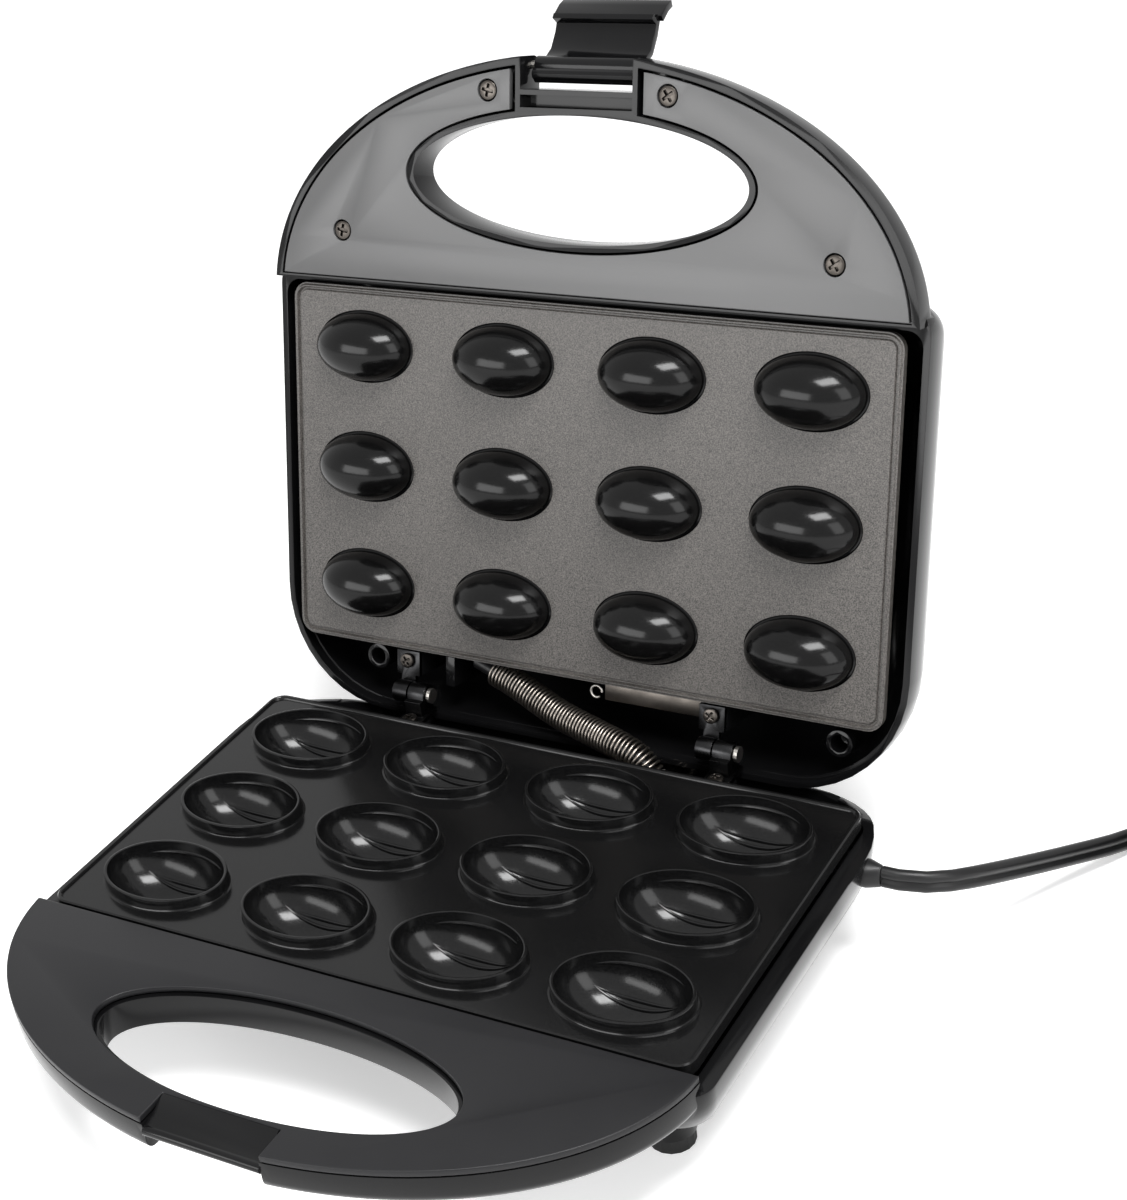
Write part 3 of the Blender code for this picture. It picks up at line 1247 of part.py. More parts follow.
def hinge_brackets(side):
    """Make one hinge: its base and lid brackets, their screws and the pin."""
    x = BASE_KNUCKLE_X[side]
    half = BASE_KNUCKLE_WIDTH / 2
    leaf_half = HINGE_LEAF_WIDTH / 2
    bore = HINGE_PIN_RADIUS + GAP
    screw_bore = HINGE_SCREW_RADIUS + GAP
    pad_top = BASE_PAD_BOTTOM + HINGE_LEAF_THICKNESS
    screw_y = BASE_PAD_FRONT_Y + HINGE_SCREW_INSET
    web_front = screw_y + HINGE_SCREW_HEAD_RADIUS + GAP
    web_rear = HINGE_Y + KNUCKLE_RADIUS / 2
    knuckle = rod(KNUCKLE_RADIUS, (x - half, HINGE_Y, HINGE_Z), (x + half, HINGE_Y, HINGE_Z), 16)
    join(
        knuckle,
        box((x - half, x + half), (web_front, web_rear), (pad_top - GAP, HINGE_Z)),
        box((x - leaf_half, x + leaf_half), (BASE_PAD_FRONT_Y, web_rear), (BASE_PAD_BOTTOM, pad_top)),
    )
    cut(
        knuckle,
        rod(bore, (x - half - OVERRUN, HINGE_Y, HINGE_Z), (x + half + OVERRUN, HINGE_Y, HINGE_Z), 12),
        rod(screw_bore, (x, screw_y, BASE_PAD_BOTTOM - OVERRUN), (x, screw_y, pad_top + OVERRUN), 10),
    )
    piece("hinge_base_bracket_" + side, knuckle, "satin_black")
    screw(
        "hinge_base_screw_" + side, (x, screw_y, pad_top + GAP + HINGE_SCREW_HEAD_HEIGHT),
        (0, 0, -1), HINGE_SCREW_RADIUS, HINGE_SCREW_LENGTH - OVERRUN, HINGE_SCREW_HEAD_RADIUS,
        HINGE_SCREW_HEAD_HEIGHT, base_frame,
    )

    lid_x = x + LID_KNUCKLE_SHIFT
    half = LID_KNUCKLE_WIDTH / 2
    leaf_back = LID_PAD_BOTTOM + HINGE_LEAF_THICKNESS
    knuckle = rod(
        KNUCKLE_RADIUS, (lid_x - half, HINGE_Y, HINGE_Z), (lid_x + half, HINGE_Y, HINGE_Z), 16
    )
    join(
        knuckle,
        box((lid_x - half, lid_x + half), (LID_PAD_REAR_Y - OVERRUN, HINGE_Y + GAP),
            (LID_PAD_BOTTOM, leaf_back)),
        box((lid_x - leaf_half, lid_x + leaf_half), (LID_PAD_FRONT_Y, LID_PAD_REAR_Y),
            (LID_PAD_BOTTOM, leaf_back)),
    )
    screw_y = LID_PAD_FRONT_Y + HINGE_SCREW_INSET
    cut(
        knuckle,
        rod(bore, (lid_x - half - OVERRUN, HINGE_Y, HINGE_Z),
            (lid_x + half + OVERRUN, HINGE_Y, HINGE_Z), 12),
        rod(screw_bore, (lid_x, screw_y, LID_PAD_BOTTOM - OVERRUN),
            (lid_x, screw_y, leaf_back + OVERRUN), 10),
    )
    piece("hinge_lid_bracket_" + side, knuckle, "satin_black", lid_axis)
    screw(
        "hinge_lid_screw_" + side, (lid_x, screw_y, LID_PAD_BOTTOM - GAP - HINGE_SCREW_HEAD_HEIGHT),
        (0, 0, 1), HINGE_SCREW_RADIUS, HINGE_SCREW_LENGTH - OVERRUN, HINGE_SCREW_HEAD_RADIUS,
        HINGE_SCREW_HEAD_HEIGHT, lid_axis,
    )

    head_x = x + BASE_KNUCKLE_WIDTH / 2 + GAP
    pin = rod(
        HINGE_PIN_HEAD_RADIUS, (head_x + HINGE_PIN_HEAD_LENGTH, HINGE_Y, HINGE_Z),
        (head_x, HINGE_Y, HINGE_Z), 16,
    )
    join(pin, rod(
        HINGE_PIN_RADIUS, (head_x + HINGE_PIN_HEAD_LENGTH / 2, HINGE_Y, HINGE_Z),
        (lid_x - LID_KNUCKLE_WIDTH / 2 - KNUCKLE_GAP, HINGE_Y, HINGE_Z), 12,
    ))
    return piece("hinge_pin_" + side, pin, "bright_steel")


# Latch

def ribbon(route, thickness):
    """Return the outline of a strip of even thickness along a (y, z) route."""
    left = []
    right = []
    for i, (y, z) in enumerate(route):
        before = Vector(route[max(i - 1, 0)])
        after = Vector(route[min(i + 1, len(route) - 1)])
        along = (after - before).normalized()
        side = Vector((-along.y, along.x)) * thickness / 2
        left.append((y + side.x, z + side.y))
        right.append((y - side.x, z - side.y))
    return left + right[::-1]


def latch_point(forward, rise):
    """Return a (y, z) point of the open lever, measured from its axle."""
    return LATCH_AXLE_Y - forward, LATCH_AXLE_Z + rise


LATCH_PANEL_ROUTE = [
    (0, 0), (0.0014, 0.0047), (0.0038, 0.0081), (0.0086, 0.0107), (0.0135, 0.0121)
]
LATCH_TAB_ROUTE = [(0.0131, 0.0118), (0.0158, 0.0149), (0.0172, 0.0177)]
LATCH_LIP_OUTLINE = [(0.0114, 0.0107), (0.0142, 0.0114), (0.0143, 0.0087), (0.0129, 0.0079)]
LATCH_HEEL = (-0.0024, -0.0025)
LATCH_HEEL_RADIUS = 0.0017


def latch_lever():
    """Make the latch lever with its barrel, heel, hook lip and finger tab."""
    barrel = rod(
        LATCH_BARREL_RADIUS, (-LATCH_HALF_WIDTH, LATCH_AXLE_Y, LATCH_AXLE_Z),
        (LATCH_HALF_WIDTH, LATCH_AXLE_Y, LATCH_AXLE_Z), 18,
    )
    panel = [latch_point(*p) for p in LATCH_PANEL_ROUTE]
    tab = [latch_point(*p) for p in LATCH_TAB_ROUTE]
    lip = [latch_point(*p) for p in LATCH_LIP_OUTLINE]
    heel_y, heel_z = latch_point(*LATCH_HEEL)
    join(
        barrel,
        rod(LATCH_HEEL_RADIUS, (-LATCH_HALF_WIDTH, heel_y, heel_z),
            (LATCH_HALF_WIDTH, heel_y, heel_z), 10),
        side_prism(ribbon(panel, LATCH_THICKNESS), LATCH_HALF_WIDTH),
        side_prism(lip, LATCH_HALF_WIDTH),
        side_prism(ribbon(tab, LATCH_THICKNESS), LATCH_TAB_HALF_WIDTH),
    )
    cut(barrel, rod(
        LATCH_AXLE_RADIUS + GAP, (-LATCH_TAB_HALF_WIDTH, LATCH_AXLE_Y, LATCH_AXLE_Z),
        (LATCH_TAB_HALF_WIDTH, LATCH_AXLE_Y, LATCH_AXLE_Z), 12,
    ))
    piece("latch_lever", barrel, "gloss_black", latch_axis)
    end = NOTCH_HALF_WIDTH + LATCH_AXLE_BITE
    axle = rod(
        LATCH_AXLE_RADIUS, (-end, LATCH_AXLE_Y, LATCH_AXLE_Z), (end, LATCH_AXLE_Y, LATCH_AXLE_Z), 10
    )
    return piece("latch_axle", axle, "bright_steel", lid_axis)


# Electrical pieces

def electrical_pieces():
    """Make the thermostat, fuse, terminal block and lamps."""
    under = SHIELD_TOP - SHIELD_THICKNESS - GAP
    piece(
        "thermostat",
        rod(THERMOSTAT_RADIUS, (0, 0, under), (0, 0, under - THERMOSTAT_HEIGHT), 20), "ceramic",
    )
    fuse_z = under - FUSE_RADIUS
    fuse_y = THERMOSTAT_RADIUS + 2 * FUSE_RADIUS
    piece("thermal_fuse", rod(FUSE_RADIUS, (-FUSE_LENGTH / 2, fuse_y, fuse_z),
                              (FUSE_LENGTH / 2, fuse_y, fuse_z), 10), "ceramic")
    piece(
        "terminal_block",
        box((TERMINAL_X - TERMINAL_LENGTH / 2, TERMINAL_X + TERMINAL_LENGTH / 2),
            (TERMINAL_Y - TERMINAL_WIDTH / 2, TERMINAL_Y + TERMINAL_WIDTH / 2),
            (BASE_INNER_FLOOR + GAP, BASE_INNER_FLOOR + GAP + TERMINAL_HEIGHT)),
        "ceramic",
    )
    for (name, x), lamp in zip(LAMP_XS.items(), ("lamp_red", "lamp_green")):
        top = LID_TOP + LAMP_PROUD
        lens = rod(LAMP_RADIUS, (x, LAMP_Y, top - LAMP_LENGTH), (x, LAMP_Y, top), 16)
        piece(name, lens, lamp, lid_axis)


def inner_leads():
    """Make the two leads from the bushing to the terminal block."""
    block_end = TERMINAL_X + TERMINAL_LENGTH / 2 + GAP
    for name, side in (("inner_lead_live", -1), ("inner_lead_neutral", 1)):
        y = CORD_EXIT_Y + side * INNER_LEAD_SPACING / 2
        start_x = BASE_HALF_WIDTH + BUSHING_PROUD - BUSHING_LENGTH - 2 * GAP
        start_z = -CORD_EXIT_DROP
        end_y = TERMINAL_Y + side * INNER_LEAD_SPACING / 2
        end_z = BASE_INNER_FLOOR + TERMINAL_HEIGHT / 2
        drop = start_z - end_z
        run = start_x - block_end
        points = [(start_x, y, start_z)]
        for run_share, drop_share in INNER_LEAD_SHARES:
            points.append((
                start_x - run * run_share, y + (end_y - y) * run_share, start_z - drop * drop_share,
            ))
        points.append((block_end, end_y, end_z))
        route = smooth_route(points, INNER_LEAD_RADIUS * 2.5)
        piece(name, tube(route, INNER_LEAD_RADIUS), "cord_black")


# Conduit

def helix(route_points, radius, curls, curl_points):
    """Wind a wire round a smooth route with straight ends along it."""
    fine = smooth_route(route_points, radius / 3)
    lengths = [0]
    for a, b in zip(fine, fine[1:]):
        lengths.append(lengths[-1] + (b - a).length)
    side = Vector((0, 0, 1))
    frames = []
    for i, point in enumerate(fine):
        ahead = (fine[min(i + 1, len(fine) - 1)] - fine[max(i - 1, 0)]).normalized()
        side = (side - ahead * side.dot(ahead)).normalized()
        frames.append((point, ahead, side, ahead.cross(side)))
    lead = 2 * CONDUIT_WIRE_RADIUS
    first = frames[0]
    last = frames[-1]
    wire = [first[0] + first[2] * radius - first[1] * lead]
    count = curls * curl_points
    for i in range(count + 1):
        want = lengths[-1] * i / count
        place = min(range(len(lengths)), key=lambda k: abs(lengths[k] - want))
        point, ahead, up, across = frames[place]
        centre = point + ahead * (want - lengths[place])
        angle = 2 * math.pi * i / curl_points
        wire.append(centre + (up * math.cos(angle) + across * math.sin(angle)) * radius)
    wire.append(last[0] + last[2] * radius + last[1] * lead)
    return wire


def least_gap(points, tube_radius, apart):
    """Return the least gap of a tube to itself between points that lie apart along it."""
    lengths = [0]
    for a, b in zip(points, points[1:]):
        lengths.append(lengths[-1] + (Vector(b) - Vector(a)).length)
    best = None
    for i, a in enumerate(points):
        for j in range(i + 1, len(points)):
            if lengths[j] - lengths[i] < apart:
                continue
            distance = (Vector(points[j]) - Vector(a)).length - 2 * tube_radius
            if best is None or distance < best:
                best = distance
    return best


def spring_conduit():
    """Make the sprung conduit and the wires in it, from the lid to the base."""
    wire_path = CONDUIT_RADIUS - CONDUIT_WIRE_RADIUS
    wire = helix(CONDUIT_ROUTE, wire_path, CONDUIT_CURLS, CONDUIT_CURL_POINTS)
    gap = least_gap(wire, CONDUIT_WIRE_RADIUS, 3 * wire_path)
    print("least gap between conduit curls, mm:", round(gap * 1000, 3))
    piece("spring_conduit", tube(wire, CONDUIT_WIRE_RADIUS), "bright_steel")
    route = smooth_route(CONDUIT_ROUTE, CONDUIT_CORE_RADIUS * 2)
    head = (route[0] - route[1]).normalized() * CONDUIT_CORE_TAIL
    foot = (route[-1] - route[-2]).normalized() * CONDUIT_CORE_TAIL
    route = [route[0] + head] + route + [route[-1] + foot]
    return piece("conduit_wiring", tube(route, CONDUIT_CORE_RADIUS), "cord_black")


# Power cord

def cord_bushing():
    """Make the bushing that holds the cord in the right wall."""
    tip_x = BASE_HALF_WIDTH + BUSHING_PROUD
    flange_x = BASE_HALF_WIDTH - BUSHING_FLANGE_INSET
    level = -CORD_EXIT_DROP
    body = rod(BUSHING_RADIUS, (flange_x, CORD_EXIT_Y, level), (tip_x, CORD_EXIT_Y, level), 16,
               BUSHING_TIP_RADIUS)
    join(
        body,
        rod(BUSHING_FLANGE_RADIUS, (flange_x, CORD_EXIT_Y, level),
            (flange_x + BUSHING_FLANGE_LENGTH, CORD_EXIT_Y, level), 16),
        rod(BUSHING_TIP_RADIUS, (tip_x - BUSHING_LENGTH, CORD_EXIT_Y, level),
            (flange_x + BUSHING_FLANGE_LENGTH / 2, CORD_EXIT_Y, level), 16),
    )
    return piece("cord_bushing", body, "cord_black")


COIL_LEVEL = FOOT_BOTTOM + TIE_WALL + TIE_CLEARANCE + CORD_RADIUS


def coil_points():
    """Return the coil: spiralled in on the table, over itself half a turn, and out again."""
    pitch = 2 * CORD_RADIUS + COIL_SPACING
    half = COIL_HALF_TURNS * COIL_POINTS
    points = []
    for i in range(round(2 * half) + 1):
        turns_to_middle = (i - half) / COIL_POINTS
        radius = COIL_MIDDLE_RADIUS + pitch * (abs(turns_to_middle) - COIL_HALF_TURNS / 2)
        climb = min(max(turns_to_middle * 2 + 0.5, 0), 1)
        angle = math.radians(COIL_START_DEG) - 2 * math.pi * i / COIL_POINTS
        points.append((
            COIL_CENTRE_X + radius * math.cos(angle), COIL_CENTRE_Y + radius * math.sin(angle),
            COIL_LEVEL + pitch * climb,
        ))
    return points


def smooth_share(value, start, end):
    """Rise smoothly from 0 to 1 between start and end."""
    share = min(max((value - start) / (end - start), 0), 1)
    return share * share * (3 - 2 * share)


def tail_points():
    """Return the cord's tail, from the top of the coil round it and down to the plug."""
    pitch = 2 * CORD_RADIUS + COIL_SPACING
    start = math.radians(COIL_START_DEG) - 2 * math.pi * 2 * COIL_HALF_TURNS
    outer = COIL_MIDDLE_RADIUS + pitch * COIL_HALF_TURNS / 2
    points = []
    steps = 10
    for i in range(steps + 1):
        turned = CORD_TAIL_DEG * i / steps
        radius = outer + (pitch + COIL_SPACING) * smooth_share(turned, 0, CORD_TAIL_DEG * 2 / 3)
        drop = pitch * smooth_share(turned, CORD_TAIL_DEG / 4, CORD_TAIL_DEG)
        angle = start - math.radians(turned)
        points.append(Vector((
            COIL_CENTRE_X + radius * math.cos(angle), COIL_CENTRE_Y + radius * math.sin(angle),
            COIL_LEVEL + pitch - drop,
        )))
    return points


def power_cord():
    """Make the cord from the bushing to its coil, the coil with its tail, the tie and the plug."""
    coil = [Vector(p) for p in coil_points()]
    along = (coil[1] - coil[0]).normalized()
    entry = coil[0] - along * 2 * CORD_RADIUS
    finish = entry - along * GAP
    route = smooth_route(CORD_ROUTE[1:] + [finish - along * 2 * CORD_RADIUS], CORD_POINT_STEP)
    route = [Vector(CORD_ROUTE[0])] + route + [finish]
    length = sum((b - a).length for a, b in zip(route, route[1:]))
    piece("power_cord", tube(route, CORD_RADIUS, 2), "cord_black")

    tail = tail_points()
    heading = (tail[-1] - tail[-2])
    heading.z = 0
    heading.normalize()
    end = tail[-1] + heading * 2 * CORD_RADIUS
    wound = [entry] + coil + tail[1:] + [end]
    wound_length = sum((b - a).length for a, b in zip(wound, wound[1:]))
    gap = least_gap(wound, CORD_RADIUS, 6 * CORD_RADIUS)
    print("least gap between cord turns, mm:", round(gap * 1000, 3))
    print("cord length, mm:", round((length + wound_length) * 1000, 1))
    piece("cord_coil", tube(wound, CORD_RADIUS), "cord_black")
    cord_tie()
    plug(end + heading * GAP, heading)


def cord_tie():
    """Make the band round the coil."""
    pitch = 2 * CORD_RADIUS + COIL_SPACING
    first = (COIL_START_DEG - TIE_ANGLE_DEG) % 360 / 360 - COIL_HALF_TURNS
    passes = [abs(first + i) for i in range(round(2 * COIL_HALF_TURNS))]
    middle = COIL_MIDDLE_RADIUS - pitch * COIL_HALF_TURNS / 2
    near = middle + pitch * min(passes) - CORD_RADIUS - TIE_CLEARANCE
    far = middle + pitch * max(passes) + CORD_RADIUS + TIE_CLEARANCE
    low = COIL_LEVEL - CORD_RADIUS - TIE_CLEARANCE
    high = COIL_LEVEL + pitch + CORD_RADIUS + TIE_CLEARANCE
    half = TIE_WIDTH / 2
    band = box((near - TIE_WALL, far + TIE_WALL), (-half, half), (low - TIE_WALL, high + TIE_WALL))
    cut(band, box((near, far), (-TIE_WIDTH, TIE_WIDTH), (low, high)))
    turn = Matrix.Rotation(math.radians(TIE_ANGLE_DEG), 4, "Z")
    band.data.transform(Matrix.Translation((COIL_CENTRE_X, COIL_CENTRE_Y, 0)) @ turn)
    return piece("cord_tie", band, "cord_black")


def plug(start, heading):
    """Make the two-pin plug, which lies on the table beside the coil."""
    neck = PLUG_NECK_WIDTH / 2
    wide = PLUG_WIDTH / 2
    outline = [
        (0, -neck), (PLUG_LENGTH * PLUG_NECK_SHARE, -neck), (PLUG_LENGTH * PLUG_BODY_SHARE, -wide),
        (PLUG_LENGTH, -wide), (PLUG_LENGTH, wide), (PLUG_LENGTH * PLUG_BODY_SHARE, wide),
        (PLUG_LENGTH * PLUG_NECK_SHARE, neck), (0, neck),
    ]
    body = prism(outline, FOOT_BOTTOM, FOOT_BOTTOM + PLUG_HEIGHT)
    round_edges(body, PLUG_EDGE_ROUNDING, 2)
    level = FOOT_BOTTOM + PLUG_HEIGHT / 2
    place = Matrix.Translation((start.x, start.y, 0)) @ Matrix.Rotation(
        math.atan2(heading.y, heading.x), 4, "Z"
    )
    pins = []
    for side in (-1, 1):
        y = side * PLUG_PIN_SPACING / 2
        root = PLUG_LENGTH - PLUG_PIN_BITE
        cut(body, rod(PLUG_PIN_RADIUS + GAP, (root - GAP, y, level),
                      (PLUG_LENGTH + OVERRUN, y, level), 12))
        pins.append(rod(PLUG_PIN_RADIUS, (root, y, level),
                        (PLUG_LENGTH + PLUG_PIN_LENGTH, y, level), 12))
    body.data.transform(place)
    piece("plug", body, "cord_black")
    for name, pin in zip(("plug_pin_left", "plug_pin_right"), pins):
        pin.data.transform(place)
        piece(name, pin, "bright_steel")


def stand_on_origin():
    """Move the whole assembly so that the origin is under the middle of its box."""
    bpy.context.view_layer.update()
    lows = [math.inf] * 3
    highs = [-math.inf] * 3
    for obj in collection.objects:
        if obj.name in CORD_PIECES:
            continue
        for vertex in obj.data.vertices:
            place = obj.matrix_world @ vertex.co
            for axis in range(3):
                lows[axis] = min(lows[axis], place[axis])
                highs[axis] = max(highs[axis], place[axis])
    base_frame.location = (
        -(lows[0] + highs[0]) / 2, -(lows[1] + highs[1]) / 2, -lows[2]
    )
    bpy.context.view_layer.update()
    print("plate frame origin, m:", [round(value, 6) for value in base_frame.location])


CORD_PIECES = {
    "cord_bushing", "power_cord", "cord_coil", "cord_tie", "plug", "plug_pin_left", "plug_pin_right"
}

for side_name in ("left", "right"):
    hinge_brackets(side_name)
latch_lever()
electrical_pieces()
inner_leads()
spring_conduit()
cord_bushing()
power_cord()
stand_on_origin()
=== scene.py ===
"""The looks of a walnut cake maker: its finishes, plates, casings, screws, latch and cords.

Sizes are in metres. Drawing places are measured from the middle of the lower baking plate at the
level of its cup rims, with the lid drawn closed, and are then carried to where the part stands.
"""

import math

import bmesh
import bpy
from mathutils import Matrix, Vector


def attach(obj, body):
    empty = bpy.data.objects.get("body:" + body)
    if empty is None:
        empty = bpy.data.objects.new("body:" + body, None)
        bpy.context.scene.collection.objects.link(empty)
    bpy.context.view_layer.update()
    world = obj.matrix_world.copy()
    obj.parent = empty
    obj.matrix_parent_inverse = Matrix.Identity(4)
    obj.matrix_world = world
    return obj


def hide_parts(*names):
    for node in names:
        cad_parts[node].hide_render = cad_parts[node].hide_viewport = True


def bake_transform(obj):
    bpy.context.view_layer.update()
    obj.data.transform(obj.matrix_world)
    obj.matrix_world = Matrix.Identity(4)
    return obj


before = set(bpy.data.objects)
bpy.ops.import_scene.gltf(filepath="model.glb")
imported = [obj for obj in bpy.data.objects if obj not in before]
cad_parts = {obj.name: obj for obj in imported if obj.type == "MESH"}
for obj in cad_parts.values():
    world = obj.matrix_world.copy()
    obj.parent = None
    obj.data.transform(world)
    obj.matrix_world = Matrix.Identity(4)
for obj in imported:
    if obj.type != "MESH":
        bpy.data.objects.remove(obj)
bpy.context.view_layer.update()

# Where the drawing stands in the part's own frame, and how far the lid is open
PLATE_MIDDLE = Vector((0, -0.012715, 0.0430))
TABLE_LEVEL = -0.0430
HINGE_Y = 0.0721
HINGE_Z = -0.0013
LID_OPEN_DEG = 105.0

# The photograph's camera
PHOTO_WIDTH = 1127
PHOTO_HEIGHT = 1200
CAMERA_PLACE = (0.3103, -0.4373, 0.4071)
CAMERA_TURN_DEG = (59.639, 7.584, 30.031)
CAMERA_FOCAL_PIXELS = 2214.77
CAMERA_MIDDLE_PIXEL = (476.62, 660.79)
SENSOR_WIDTH = 36.0
CLIP_START = 0.01


def photo_camera():
    """Stand the camera where the photograph was taken."""
    data = bpy.data.cameras.new("photo_camera")
    data.sensor_fit = "AUTO"
    data.sensor_width = SENSOR_WIDTH
    data.lens = CAMERA_FOCAL_PIXELS / PHOTO_HEIGHT * SENSOR_WIDTH
    data.shift_x = (PHOTO_WIDTH / 2 - CAMERA_MIDDLE_PIXEL[0]) / PHOTO_HEIGHT
    data.shift_y = (CAMERA_MIDDLE_PIXEL[1] - PHOTO_HEIGHT / 2) / PHOTO_HEIGHT
    data.clip_start = CLIP_START
    camera = bpy.data.objects.new("photo_camera", data)
    camera.location = CAMERA_PLACE
    camera.rotation_euler = [math.radians(turn) for turn in CAMERA_TURN_DEG]
    bpy.context.scene.collection.objects.link(camera)
    bpy.context.scene.camera = camera


# Node helpers for the finishes

def shader_nodes(name):
    """Return a new material's node tree and its shader."""
    material = bpy.data.materials.new(name)
    material.use_nodes = True
    nodes = material.node_tree.nodes
    return material, material.node_tree, nodes["Principled BSDF"]


GRAIN_DETAIL = 3.0
CLOUD_DETAIL = 5.0
GRAIN_ROUGHNESS = 0.55


def grain(tree, scale, detail=GRAIN_DETAIL, roughness=GRAIN_ROUGHNESS):
    """Return a noise node that is fixed to the piece, at so many grains a metre."""
    place = tree.nodes.new("ShaderNodeTexCoord")
    noise = tree.nodes.new("ShaderNodeTexNoise")
    noise.inputs["Scale"].default_value = scale
    noise.inputs["Detail"].default_value = detail
    noise.inputs["Roughness"].default_value = roughness
    tree.links.new(place.outputs["Object"], noise.inputs["Vector"])
    return noise


def spread(tree, value, low, high, to_low, to_high):
    """Return a node that carries value from one range to another."""
    node = tree.nodes.new("ShaderNodeMapRange")
    for name, amount in (
        ("From Min", low), ("From Max", high), ("To Min", to_low), ("To Max", to_high)
    ):
        node.inputs[name].default_value = amount
    tree.links.new(value, node.inputs["Value"])
    return node


def colour_steps(tree, value, steps):
    """Return a colour ramp over value; steps are places with their colours."""
    ramp = tree.nodes.new("ShaderNodeValToRGB")
    first, last = ramp.color_ramp.elements
    first.position, first.color = steps[0][0], (*steps[0][1], 1)
    last.position, last.color = steps[-1][0], (*steps[-1][1], 1)
    for position, colour in steps[1:-1]:
        ramp.color_ramp.elements.new(position).color = (*colour, 1)
    tree.links.new(value, ramp.inputs["Fac"])
    return ramp


def bump(tree, shader, height, distance, strength=1.0, under=None):
    """Raise the surface by height over distance, on top of the bump called under."""
    node = tree.nodes.new("ShaderNodeBump")
    node.inputs["Distance"].default_value = distance
    node.inputs["Strength"].default_value = strength
    tree.links.new(height, node.inputs["Height"])
    if under:
        tree.links.new(under.outputs["Normal"], node.inputs["Normal"])
    tree.links.new(node.outputs["Normal"], shader.inputs["Normal"])
    return node


def moulded_plastic(
    name, colour, pale, rough_low, rough_high, grain_scale, grain_height, gloss_level=0.5
):
    """Make a moulded plastic: faint clouding, uneven gloss and a fine mould grain."""
    material, tree, shader = shader_nodes(name)
    clouds = grain(tree, CLOUD_SCALE, 4.0)
    tint = colour_steps(tree, clouds.outputs["Fac"], [(NOISE_LOW, colour), (NOISE_HIGH, pale)])
    tree.links.new(tint.outputs["Color"], shader.inputs["Base Color"])
    shader.inputs["Specular IOR Level"].default_value = gloss_level
    gloss = spread(tree, clouds.outputs["Fac"], NOISE_LOW, NOISE_HIGH, rough_low, rough_high)
    tree.links.new(gloss.outputs["Result"], shader.inputs["Roughness"])
    fine = grain(tree, grain_scale, 2.0)
    bump(tree, shader, fine.outputs["Fac"], grain_height, 0.5)
    return material


def speckled_coating(name, base, light, speck, speck_share, rough, grain_height, gloss_level):
    """Make a sprayed non-stick coating: metal flakes in a dark coat over a fine orange peel."""
    material, tree, shader = shader_nodes(name)
    clouds = grain(tree, COATING_CLOUD_SCALE, CLOUD_DETAIL)
    tone = colour_steps(tree, clouds.outputs["Fac"], [(TONE_LOW, base), (TONE_HIGH, light)])
    flakes = grain(tree, FLAKE_SCALE, FLAKE_DETAIL, FLAKE_ROUGHNESS)
    shown = spread(
        tree, flakes.outputs["Fac"], 0.5 - SPECK_BLEND, 0.5 + SPECK_BLEND, 0, speck_share
    )
    mix = tree.nodes.new("ShaderNodeMix")
    mix.data_type = "RGBA"
    mix.inputs["B"].default_value = (*speck, 1)
    tree.links.new(shown.outputs["Result"], mix.inputs["Factor"])
    tree.links.new(tone.outputs["Color"], mix.inputs["A"])
    tree.links.new(mix.outputs["Result"], shader.inputs["Base Color"])
    uneven = spread(
        tree, flakes.outputs["Fac"], NOISE_LOW, NOISE_HIGH, rough - SMOOTHER, rough + ROUGHER
    )
    tree.links.new(uneven.outputs["Result"], shader.inputs["Roughness"])
    shader.inputs["Specular IOR Level"].default_value = gloss_level
    peel = grain(tree, PEEL_SCALE)
    bump(tree, shader, peel.outputs["Fac"], grain_height, PEEL_STRENGTH)
    return material


def worked_metal(name, colour, rough, stretch, scratch_height):
    """Make a metal with drawn marks, duller where it has been handled."""
    material, tree, shader = shader_nodes(name)
    shader.inputs["Metallic"].default_value = 1.0
    place = tree.nodes.new("ShaderNodeTexCoord")
    pull = tree.nodes.new("ShaderNodeMapping")
    pull.inputs["Scale"].default_value = stretch
    tree.links.new(place.outputs["Object"], pull.inputs["Vector"])
    marks = tree.nodes.new("ShaderNodeTexNoise")
    marks.inputs["Scale"].default_value = METAL_MARK_SCALE
    marks.inputs["Detail"].default_value = METAL_MARK_DETAIL
    tree.links.new(pull.outputs["Vector"], marks.inputs["Vector"])
    stain = grain(tree, METAL_STAIN_SCALE, CLOUD_DETAIL)
    dull = tuple(value * DULL_SHARE for value in colour)
    tint = colour_steps(tree, stain.outputs["Fac"], [(TONE_LOW, dull), (STAIN_HIGH, colour)])
    tree.links.new(tint.outputs["Color"], shader.inputs["Base Color"])
    gloss = spread(tree, stain.outputs["Fac"], NOISE_LOW, NOISE_HIGH, rough + HANDLED_ROUGHER, rough)
    tree.links.new(gloss.outputs["Result"], shader.inputs["Roughness"])
    bump(tree, shader, marks.outputs["Fac"], scratch_height, 0.5)
    return material


# Where in a noise, from 0 to 1, a finish starts and ends its change
NOISE_LOW = 0.3
NOISE_HIGH = 0.7
TONE_LOW = 0.35
TONE_HIGH = 0.65
STAIN_HIGH = 0.6

# How much rougher or duller a finish gets
SMOOTHER = 0.05
ROUGHER = 0.08
HANDLED_ROUGHER = 0.12
DULL_SHARE = 0.62

FLAKE_DETAIL = 2.0
FLAKE_ROUGHNESS = 0.7
PEEL_STRENGTH = 0.6
METAL_MARK_DETAIL = 4.0

# Grains a metre
CLOUD_SCALE = 18.0
COATING_CLOUD_SCALE = 9.0
FLAKE_SCALE = 2600.0
SPECK_BLEND = 0.14
PEEL_SCALE = 900.0
METAL_MARK_SCALE = 300.0
METAL_STAIN_SCALE = 120.0


